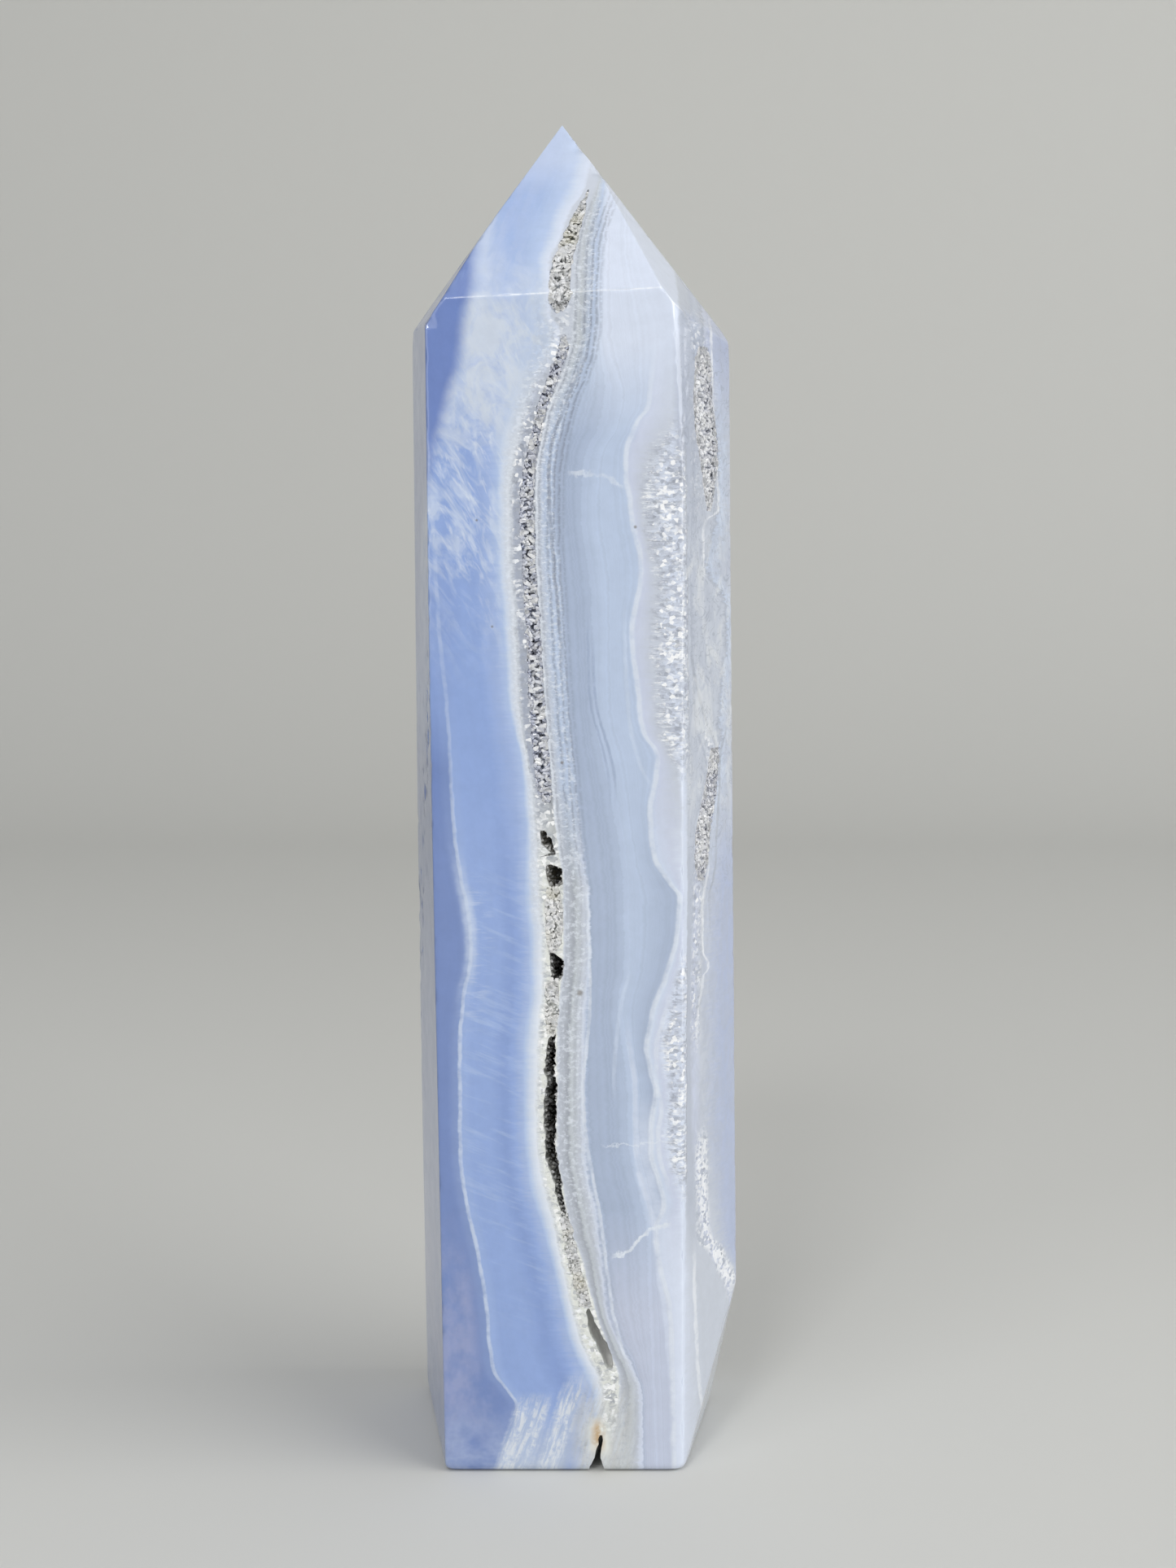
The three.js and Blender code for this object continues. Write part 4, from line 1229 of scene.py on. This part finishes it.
needles = slanted(-22, 0.28, 2.4, 0.52, 0.76)
colour = lay(colour, HAZE_BLUE, needles, span(height, 14, 46, 4), span(calm, 1, 2.2, 0.1), 0.5)
ticks = speckle((0.35, 0.3, 3), 0.5, 0.7)
ticks_side = span(calm, 1, 1.35, 0.12)
colour = lay(colour, MILK, ticks, span(height, 36, 46, 2), ticks_side, 0.6)
off_thread = add(bands, "ShaderNodeMath", {0: side, 1: border["thread"]}, operation="SUBTRACT")
thread_reach = levels_of(height, THREAD_REACH, TALL)
patchy = speckle((0.7, 0.7, 0.9), 0.2, 0.55)
colour = lay(colour, MILK, thin(off_thread, THREAD), thread_reach, patchy)
colour = lay(colour, MILK, thin(off_thread, THREAD_FOG), span(height, 39, 47, 2.5), patchy, 0.6)
colour = lay(colour, HAZE_BLUE, thin(off_thread, THREAD_GLOW), thread_reach, 0.2)
print("thread:", len(bands.nodes), "nodes")

# %% Streaks at the foot
SLANT = -0.31
STREAK_FRAY = 0.12

slant = add(bands, "ShaderNodeMath", {0: height, 1: SLANT, 2: side}, operation="MULTIPLY_ADD")
ragged_slant = add(bands, "ShaderNodeMath", {0: fibre, 1: STREAK_FRAY, 2: slant},
                   operation="MULTIPLY_ADD")
first = together(span(ragged_slant, -6, -3.5, 0.3), span(height, -2, 5.6, 0.9))
second = together(span(ragged_slant, -2.8, -1.2, 0.3), span(height, -2, 7, 1.2))
streaks = strongest(first, second)
along = add(bands, "ShaderNodeCombineXYZ", {"X": slant, "Y": height})
hairs = add(bands, "ShaderNodeVectorMath", {0: along, 1: (2.8, 0.35, 1)}, operation="MULTIPLY")
hairs = add(bands, "ShaderNodeTexNoise", {"Vector": hairs, "Scale": 1, "Detail": 4, "Roughness": 0.7})
hairs = add(bands, "ShaderNodeMapRange", {"Value": hairs.outputs["Fac"], "From Min": 0.42,
                                          "From Max": 0.56})
crumbs = speckle((2.2, 2.2, 2.6), 0.3, 0.52)
colour = lay(colour, PALE_SLATE, span(slant, -5.9, -0.6, 0.4), span(height, -4, 3, 2.5), 0.8)
colour = lay(colour, MIST, streaks, 0.5)
colour = lay(colour, LINEN, streaks, hairs, crumbs, 0.95)
print("streaks:", len(bands.nodes), "nodes")

# %% Cream and rust round the crack at the foot
rusty = speckle((1.2, 1.2, 1.2), 0.35, 0.6)
round_crack = together(span(side, 0.4, 4.6, 0.6), span(height, -2, 6.5, 1.5), near_front)
colour = lay(colour, BEIGE, span(side, 0.3, 4.5, 0.8), span(height, -2, 5, 1.5), near_front, 0.8)
colour = lay(colour, FLINT, round_crack, hairs, 0.55)
colour = lay(colour, SALT, round_crack, crumbs, 0.3)
colour = lay(colour, CREAM, span(side, 1.4, 2.9, 0.3), span(height, 1.5, 4.2, 0.5), near_front)
colour = lay(colour, RUST, rusty, span(side, 1.6, 2.4, 0.3), span(height, 1.8, 4, 0.5), near_front, 0.8)
print("crack:", len(bands.nodes), "nodes")

# %% Fine lines along the layers
LINE_STRENGTH = [(0, 0.12), (2, 0.1), (3.95, 0), (4.05, 0.5), (4.95, 0.5), (5.1, 0.5), (6, 0.42),
                 (6.95, 0.3), (7.1, 0.12), (9, 0.1), (12, 0.2)]
LINE_DEPTH = 0.22
LINES_PER_LAYER = 7

line_wave = add(bands, "ShaderNodeMath", {0: height, 1: 0.004, 2: layer}, operation="MULTIPLY_ADD")
lines = add(bands, "ShaderNodeTexNoise", {"W": line_wave, "Scale": LINES_PER_LAYER, "Detail": 3,
                                          "Roughness": 0.75}, noise_dimensions="1D")
lines = add(bands, "ShaderNodeMapRange", {"Value": lines.outputs["Fac"], "From Min": 0.3,
                                          "From Max": 0.7, "To Min": -0.5, "To Max": 0.5})
marked = together(lines, levels_of(layer, LINE_STRENGTH, LAYERS))
value = add(bands, "ShaderNodeMath", {0: marked, 1: LINE_DEPTH, 2: 1}, operation="MULTIPLY_ADD")
print("lines:", len(bands.nodes), "nodes")

# %% Beaded rows beside the seam
ROWS = [(0, 0), (0.12, 0.1), (0.26, 0.8), (0.42, 0.1), (0.74, 0.1), (0.92, 0.95), (1.1, 0.1),
        (1.24, 0.15), (1.4, 1), (1.54, 0.15), (1.66, 0.3), (1.8, 0.9), (1.96, 0.1), (2.12, 0.5),
        (2.3, 0), (4, 0)]
ROWS_WIDTH = 4
ROWS_REACH = [(0, 0.1), (20, 0.25), (44, 0.35), (52, 0.8), (64, 0.75), (76, 0.9), (84, 1), (97, 0.9),
              (100, 0), (106, 0)]

beads = speckle((2.6, 2.6, 4.2), 0.32, 0.52, Detail=2)
off_seam = add(bands, "ShaderNodeMath", {0: side, 1: border["seam_right"]}, operation="SUBTRACT")
rows = levels_of(off_seam, ROWS, ROWS_WIDTH)
rows_reach = levels_of(height, ROWS_REACH, TALL)
colour = lay(colour, DUSK, rows, beads, rows_reach, 0.75)
pearls = speckle((2.6, 2.6, 3.6), 0.5, 0.66, Detail=2)
colour = lay(colour, SNOW, pearls, span(layer, 4, 4.97, 0.08), span(height, 20, 99, 2), 0.6)
frosted = together(span(layer, 2.35, 2.9, 0.12), span(height, 42, 90, 3))
# grey specks in the frosted band are painted shade between its tiny bumps
colour = lay(colour, ASH, beads, frosted, 0.25)
colour = lay(colour, SNOW, pearls, frosted, 0.6)
print("rows:", len(bands.nodes), "nodes")

# %% Single lines
MARKS = [
    # along the height: course, width, fade, colour, strength
    ([(64, -0.75), (70.1, -1.36), (73.8, -1.6), (76.2, -1.72), (79.8, -1.47), (81.7, -0.74),
      (84.1, 0.18), (86.5, 1.22)], 0.2, 2, DUSK, 0.5),
    ([(53.5, 3.32), (55.3, 3.07), (57.2, 2.58), (59, 2.02), (60.9, 1.71), (64, 1.59)],
     0.16, 1.5, SLATE_BLUE, 0.55),
    ([(53.2, 2.9), (55.3, 2.62), (57.2, 2.14), (59, 1.6), (60.9, 1.3), (66, 1.2)],
     0.14, 1.5, SLATE_BLUE, 0.45),
    ([(7.1, 5.01), (9.1, 4.12), (13, 3.11), (16.2, 2.67), (20, 2.22), (23.2, 1.6), (26.4, 1.09),
      (30.2, 0.84), (33.4, 1.09), (36.6, 1.34), (42, 1.3), (46, 1.1)], 0.2, 1.5, SNOW, 0.6),
    ([(53.5, 6.05), (55.9, 4.99), (57.8, 4.49), (62, 4.1), (66, 4)], 0.22, 1.5, MILK, 0.6),
    ([(23.2, 7.37), (24.5, 6.86), (26.4, 6.61), (29, 6.85), (30.9, 6.47), (33.4, 6.47), (35.3, 6.84),
      (37, 7.4)], 0.26, 1, SNOW, 0.6),
    ([(8, 7.6), (13.6, 7.08), (16.2, 6.63), (20, 6.25), (21.6, 5.8), (23.2, 5.24), (25.1, 4.92),
      (27.7, 4.85), (31.5, 4.72), (34, 4.3)], 0.3, 2, PEARL, 0.6),
    ([(13.5, 7.5), (17.5, 7.1), (20.5, 6.5), (23.2, 5.85), (25.1, 5.6), (28.5, 5.6)],
     1.1, 1.5, PEARL, 0.6),
    ([(30.5, 3.2), (33.5, 3.3), (36.5, 3.7), (39.2, 4.3)], 0.22, 1.2, MILK, 0.55),
    ([(69.5, 10.1), (72.3, 10.04), (73.9, 10.31), (74.4, 11.07), (75.2, 11.34), (78.9, 10.91),
      (84.5, 10.75), (89.1, 10.6)], 0.16, 1, FROST, 0.75),
    ([(56.4, 11.28), (58.4, 10.37), (62, 9.4), (64, 9.05)], 0.16, 0.8, ASH, 0.7),
    ([(42.7, 10.77), (44.4, 10.63), (46.4, 11.11), (49.5, 11.3), (53, 11.5), (55.5, 11.57), (58, 12.2)],
     0.14, 1, ASH, 0.6),
    ([(34, 9.63), (36.1, 9.76), (37.7, 10.1), (38.6, 10.2), (39.2, 10.65), (40.6, 10.15), (43.5, 10.08),
      (47, 10.6)], 0.15, 1, FROST, 0.7),
    ([(3, 10.4), (7.7, 9.85), (10.4, 9.71), (14, 9.56), (17, 9.5)], 0.2, 1, FROST, 0.5),
]
RIPPLE = 0.3

for course, width, fade, tint, strength in MARKS:
    colour = lay(colour, tint, stroke(height, side, course, width, fade), patchy, strength)
off_ripple = add(bands, "ShaderNodeMath", {0: side, 1: border["ripple"]}, operation="SUBTRACT")
colour = lay(colour, SNOW, thin(off_ripple, RIPPLE), span(height, -4, 84, 3), patchy, 0.65)
print("marks:", len(MARKS) + 1)

# %% Healed cracks
CRACKS = [
    # along the width: course, width, fade, colour, strength
    ([(-0.13, 77.3), (1.7, 77.2), (2.9, 76.9), (3.8, 76.3)], 0.22, 0.3, SNOW, 0.55),
    ([(3.2, 17.3), (3.9, 17.35), (4.5, 17.8), (5.2, 18.6), (6, 19.3), (6.6, 19.5), (7.5, 19.75)],
     0.26, 0.2, SNOW, 0.95),
    ([(2.5, 25.9), (4.8, 26), (7.3, 26.3)], 0.1, 0.4, SNOW, 0.5),
]
JAG = 1.1

jagged = speckle((1.6, 1.6, 1.6), 0, 1, Detail=3)
jagged = add(bands, "ShaderNodeMath", {0: jagged, 1: JAG, 2: height}, operation="MULTIPLY_ADD")
jagged = add(bands, "ShaderNodeMath", {0: jagged, 1: JAG / 2}, operation="SUBTRACT")
for course, width, fade, tint, strength in CRACKS:
    colour = lay(colour, tint, stroke(side, jagged, course, width, fade), near_front, patchy, strength)
print("cracks:", len(CRACKS))

# %% [markdown]
# ## Quartz that the polish cut through
#
# On the right the polish went through beds of quartz: combs, whose needles stand side by side, and
# druse, a bed of small points. They are level with the surface, so they are colour, gloss and a
# little bump, and no hollows. The cells of a Voronoi pattern, about a third of a millimetre wide,
# are the cut crystals, some bright and some dark; the brightest small cells are painted glints,
# and the darkest small cells are painted shade between the grains. Noise that is squeezed along
# the height makes the needles.

# %% The cells of the cut crystals
grain_place = add(bands, "ShaderNodeVectorMath", {0: spot, 1: (2.3, 2.3, 5)}, operation="MULTIPLY")
warp = add(bands, "ShaderNodeTexNoise", {"Vector": grain_place, "Scale": 1, "Detail": 2})
warp = add(bands, "ShaderNodeVectorMath", {0: warp.outputs["Color"], "Scale": 1.2}, operation="SCALE")
grain_place = add(bands, "ShaderNodeVectorMath", {0: grain_place, 1: warp}, operation="ADD")
grains = add(bands, "ShaderNodeTexVoronoi", {"Vector": grain_place, "Scale": 1, "Randomness": 1})
grain = add(bands, "ShaderNodeSeparateXYZ", {0: grains.outputs["Color"]}).outputs["X"]
fine_place = add(bands, "ShaderNodeVectorMath", {0: spot, 1: (3.4, 3.4, 3.8)}, operation="MULTIPLY")
fine = add(bands, "ShaderNodeTexVoronoi", {"Vector": fine_place, "Scale": 1, "Randomness": 1})
fine_grain = add(bands, "ShaderNodeSeparateXYZ", {0: fine.outputs["Color"]}).outputs["X"]
print("cells:", len(bands.nodes), "nodes")

# %% Where the quartz beds lie
LOW_RIGHT = [(12.5, 12.9), (14.9, 11.95), (16.6, 11.2), (17.8, 10.4), (20, 10.2), (22.5, 10.1),
             (26, 10.1)]
LOW_RIGHT_WIDTH = 0.75
RIGHT_SEAM = [(34, 9.5), (40, 9.6), (46.5, 9.75), (52, 10.5), (55, 10.8), (57.5, 10.5)]
RIGHT_SEAM_WIDTH = 0.6

comb_right = span(layer, 8.15, 9.12, 0.1)
comb_upper = span(height, 55, 80.5, 1.2)
comb_lower = span(height, 22.5, 40, 1.2)
comb_high = strongest(comb_upper, comb_lower)
comb = together(comb_right, comb_high)
druse = together(span(layer, 9.6, 11, 0.15), span(height, 75, 89.5, 1.5), 0.6)
seam_grit = together(span(layer, 2.78, 4, 0.1), span(height, 4, 89, 2))
low_right = stroke(height, side, LOW_RIGHT, LOW_RIGHT_WIDTH, 1)
seam_right_face = stroke(height, side, RIGHT_SEAM, RIGHT_SEAM_WIDTH, 1.5)
patches = speckle((0.5, 0.5, 0.35), 0.36, 0.52)
gritty = strongest(comb, seam_grit, druse, low_right, seam_right_face)
print("beds:", len(bands.nodes), "nodes")

# %% Bright and dark crystals, with painted glints and painted shade
bright = add(bands, "ShaderNodeMapRange", {"Value": grain, "From Min": 0.68, "From Max": 0.85})
dark = add(bands, "ShaderNodeMapRange", {"Value": grain, "From Min": 0.22, "From Max": 0.05})
fine_painted_shade = add(bands, "ShaderNodeMapRange", {"Value": fine_grain, "From Min": 0.25, "From Max": 0.05})
spines = speckle((1.1, 1.1, 7.5), 0.52, 0.6, Detail=3)
shadows = speckle((1.2, 1.2, 2.6), 0.46, 0.62, Detail=4)
comb_wide = together(span(layer, 7.85, 9.2, 0.18), comb_high)
clumps = speckle((0.8, 0.8, 0.55), 0.46, 0.6, Detail=4)
colour = lay(colour, SHADE, comb_wide, shadows, 0.7)
colour = lay(colour, FROST, comb_wide, clumps, spines, 0.8)
colour = lay(colour, FROST, gritty, clumps, bright, 0.95)
colour = lay(colour, ASH, gritty, dark, 0.6)
# painted shade between the fine grains of the quartz beds
colour = lay(colour, DUSK, gritty, patches, fine_painted_shade, 0.45)
sparks = add(bands, "ShaderNodeMapRange", {"Value": fine_grain, "From Min": 0.35, "From Max": 0.55})
fine_painted_glints = add(bands, "ShaderNodeMapRange", {"Value": fine_grain, "From Min": 0.8, "From Max": 0.9})
# painted glints on the brightest small cells of the quartz beds
colour = lay(colour, WHITE, gritty, patches, fine_painted_glints, 0.8)
colour = lay(colour, FROST, low_right, sparks, 0.9)
print("quartz:", len(bands.nodes), "nodes")

# %% [markdown]
# ## Spots, hollow walls, wear and painted light and shade
#
# A few brown specks lie in the front. The bare walls inside the fissure are a dark brown, but ivory
# near its upper end, and its lowest cavity is painted white, as painted light that keeps it from going
# dark. The hollows are cut into the same piece of stone, so its material colours them by how deep
# they lie under the front. The edges are whitish in places, partly from wear, because polish and
# handling reach them unevenly, and partly as painted highlight, strongest along the shoulder; the
# upper front right edge gets painted shade instead.

# %% Spots, and the walls of the hollows
SPOTS = [(-0.76, 55.5, 0.16), (-7.18, 73.8, 0.12), (-6.04, 65.8, 0.12), (0.6, 37.8, 0.3),
         (4.78, 73.3, 0.16), (-0.57, 94.6, 0.14)]
for x, z, size in SPOTS:
    gap = add(bands, "ShaderNodeVectorMath", {0: spot, 1: (x, -FRONT_FACE, z)}, operation="SUBTRACT")
    gap = add(bands, "ShaderNodeVectorMath", {0: gap, 1: (1, 0, 1)}, operation="MULTIPLY")
    gap = add(bands, "ShaderNodeVectorMath", {0: gap}, operation="LENGTH").outputs["Value"]
    round_spot = add(bands, "ShaderNodeMapRange", {"Value": gap, "From Min": size,
                                                   "From Max": size * 0.4})
    colour = lay(colour, UMBER, round_spot, near_front, 0.7)
inside = add(bands, "ShaderNodeMapRange", {"Value": depth, "From Min": 0.35, "From Max": 3})
in_seam = span(calm, 2.9, 4.3, 0.1)
hollow_height = span(height, 8, 51, 0.5)
not_through = span(depth, 0.2, 8.5, 0.3)
colour = lay(colour, UMBER, inside, in_seam, hollow_height, not_through, 0.9)
colour = lay(colour, IVORY, inside, in_seam, span(height, 44.5, 51, 0.5), not_through, 0.95)
# painted light: the lowest cavity is painted nearly white, so that its walls don't render dark
low_cavity = add(bands, "ShaderNodeMapRange", {"Value": depth, "From Min": 0.15, "From Max": 1.6})
colour = lay(colour, PAINTED_CAVITY_LIGHT, low_cavity, in_seam, span(height, 7, 14.5, 0.5), not_through, 0.95)
print("walls:", len(bands.nodes), "nodes")

# %% Whitish wear and painted highlight along the edges, and painted shade
marked_edge = add(bands, "ShaderNodeAttribute", attribute_name="wear_and_highlight_mark", attribute_type="GEOMETRY")
edge_wear_and_highlight = add(bands, "ShaderNodeMapRange", {"Value": marked_edge.outputs["Fac"], "From Min": 0.35,
                                         "From Max": 0.95})
uneven_edge = speckle((1.2, 1.2, 1.2), 0.3, 0.6, Detail=4)
# whitish edges, partly wear and partly painted highlight
colour = lay(colour, FROST, edge_wear_and_highlight, uneven_edge, span(side, -10.5, 20, 1.5), 0.12)
# painted highlight along the shoulder, where the point meets the front
colour = lay(colour, WHITE, edge_wear_and_highlight, uneven_edge, span(axes.outputs["Z"], 88.8, 91.5, 0.4), near_front,
             span(side, -8, 9.5, 1.5), 0.55)

# painted shade on the upper front right edge, so that the light on its rounding draws no bright line
colour = lay(colour, PEWTER, span(axes.outputs["X"], 7.75, 8.9, 0.25), near_front,
             span(axes.outputs["Z"], 79, 88.2, 2), 0.55)
print("wear:", len(bands.nodes), "nodes")

# %% [markdown]
# ## Unevenness
#
# No part of a natural stone has one plain colour. The right face is mottled, with clouds and thin
# veins, and the whole stone varies a little in how light it is. A grey strip beside the front right
# edge is painted shade.

# %% Painted edge shade, mottle, clouds and veins
EDGE_SHADE_REACH = [(0, 0), (16, 0), (21, 0.6), (46, 0.6), (52, 0.1), (73, 0.1), (78, 0.55), (90, 0.5),
              (96, 0), (106, 0)]
VEIN_WIDTH = 0.018  # in the units of the noise that the veins are drawn from

on_right = span(calm, 9, 12.5, 0.1)
edge_shade_amount = levels_of(height, EDGE_SHADE_REACH, TALL)
# painted shade: a grey strip on the right face beside the front right edge
colour = lay(colour, PAINTED_EDGE_SHADE, span(calm, 9.1, 10.2, 0.15), edge_shade_amount)
mottle = speckle((0.8, 0.8, 0.45), 0.42, 0.6, Detail=4, Distortion=1.2)
colour = lay(colour, MOTTLE, mottle, on_right, span(height, 22, 90, 4), 0.45)
clouds = speckle((0.5, 0.5, 0.3), 0.5, 0.62, Detail=4, Distortion=0.8)
colour = lay(colour, CLOUD, clouds, on_right, span(height, 52, 74, 4), 0.6)
veins = speckle((0.55, 0.55, 0.4), 0, 1, Detail=2, Distortion=1.5)
veins = thin(add(bands, "ShaderNodeMath", {0: veins, 1: 0.5}, operation="SUBTRACT"), VEIN_WIDTH)
colour = lay(colour, VEIN, veins, on_right, span(height, 45, 90, 4), 0.4)

# %% Light and dark all over
BLOTCH_DEPTH = 0.08

blotch = speckle((0.9, 0.9, 0.9), 0.25, 0.75, Detail=4)
blotch = add(bands, "ShaderNodeMath", {0: blotch, 1: BLOTCH_DEPTH, 2: -BLOTCH_DEPTH / 2},
             operation="MULTIPLY_ADD")
value = add(bands, "ShaderNodeMath", {0: value, 1: blotch}, operation="ADD")
shaded = add(bands, "ShaderNodeVectorMath", {0: colour, "Scale": value}, operation="SCALE")
bands.links.new(shaded.outputs[0], gloss.inputs["Base Color"])
print("colour:", len(bands.nodes), "nodes")

# %% [markdown]
# ## Polish
#
# Agate is very fine quartz, ground on wheels and then polished with powder on felt. That gives the
# eye a glassy gloss with small sharp lights. Fingers leave slight smears on it, and in the quartz
# beds tiny pits stay between the crystals, so these are duller and have a little bump.

# %% Polish
GLOSSY, PITTED = 0.08, 0.3
SMEARED = 0.07
BEAD_RELIEF = 0.4
PIT_DEPTH = 0.0001

rough = add(bands, "ShaderNodeMapRange", {"Value": gritty, "To Min": GLOSSY, "To Max": PITTED})
smears = speckle((0.3, 0.3, 0.5), 0.3, 0.7, Detail=5)
rough = add(bands, "ShaderNodeMath", {0: smears, 1: SMEARED, 2: rough}, operation="MULTIPLY_ADD")
bands.links.new(rough.outputs[0], gloss.inputs["Roughness"])
gloss.inputs["IOR"].default_value = QUARTZ_IOR
relief = together(grain, gritty)
beaded = together(beads, span(layer, 4, 5, 0.1), rows_reach)
relief = add(bands, "ShaderNodeMath", {0: beaded, 1: BEAD_RELIEF, 2: relief}, operation="MULTIPLY_ADD")
bump = add(bands, "ShaderNodeBump", {"Height": relief, "Strength": 0.7, "Distance": PIT_DEPTH})
bands.links.new(bump.outputs[0], gloss.inputs["Normal"])
print("agate:", len(bands.nodes), "nodes")

# %% Dress the stone
SHARP_ANGLE = 32

stone.data.materials.clear()
stone.data.materials.append(agate)
stone.data.shade_smooth()
stone.data.set_sharp_from_angle(angle=math.radians(SHARP_ANGLE))
print("stone:", len(stone.data.polygons), "faces")
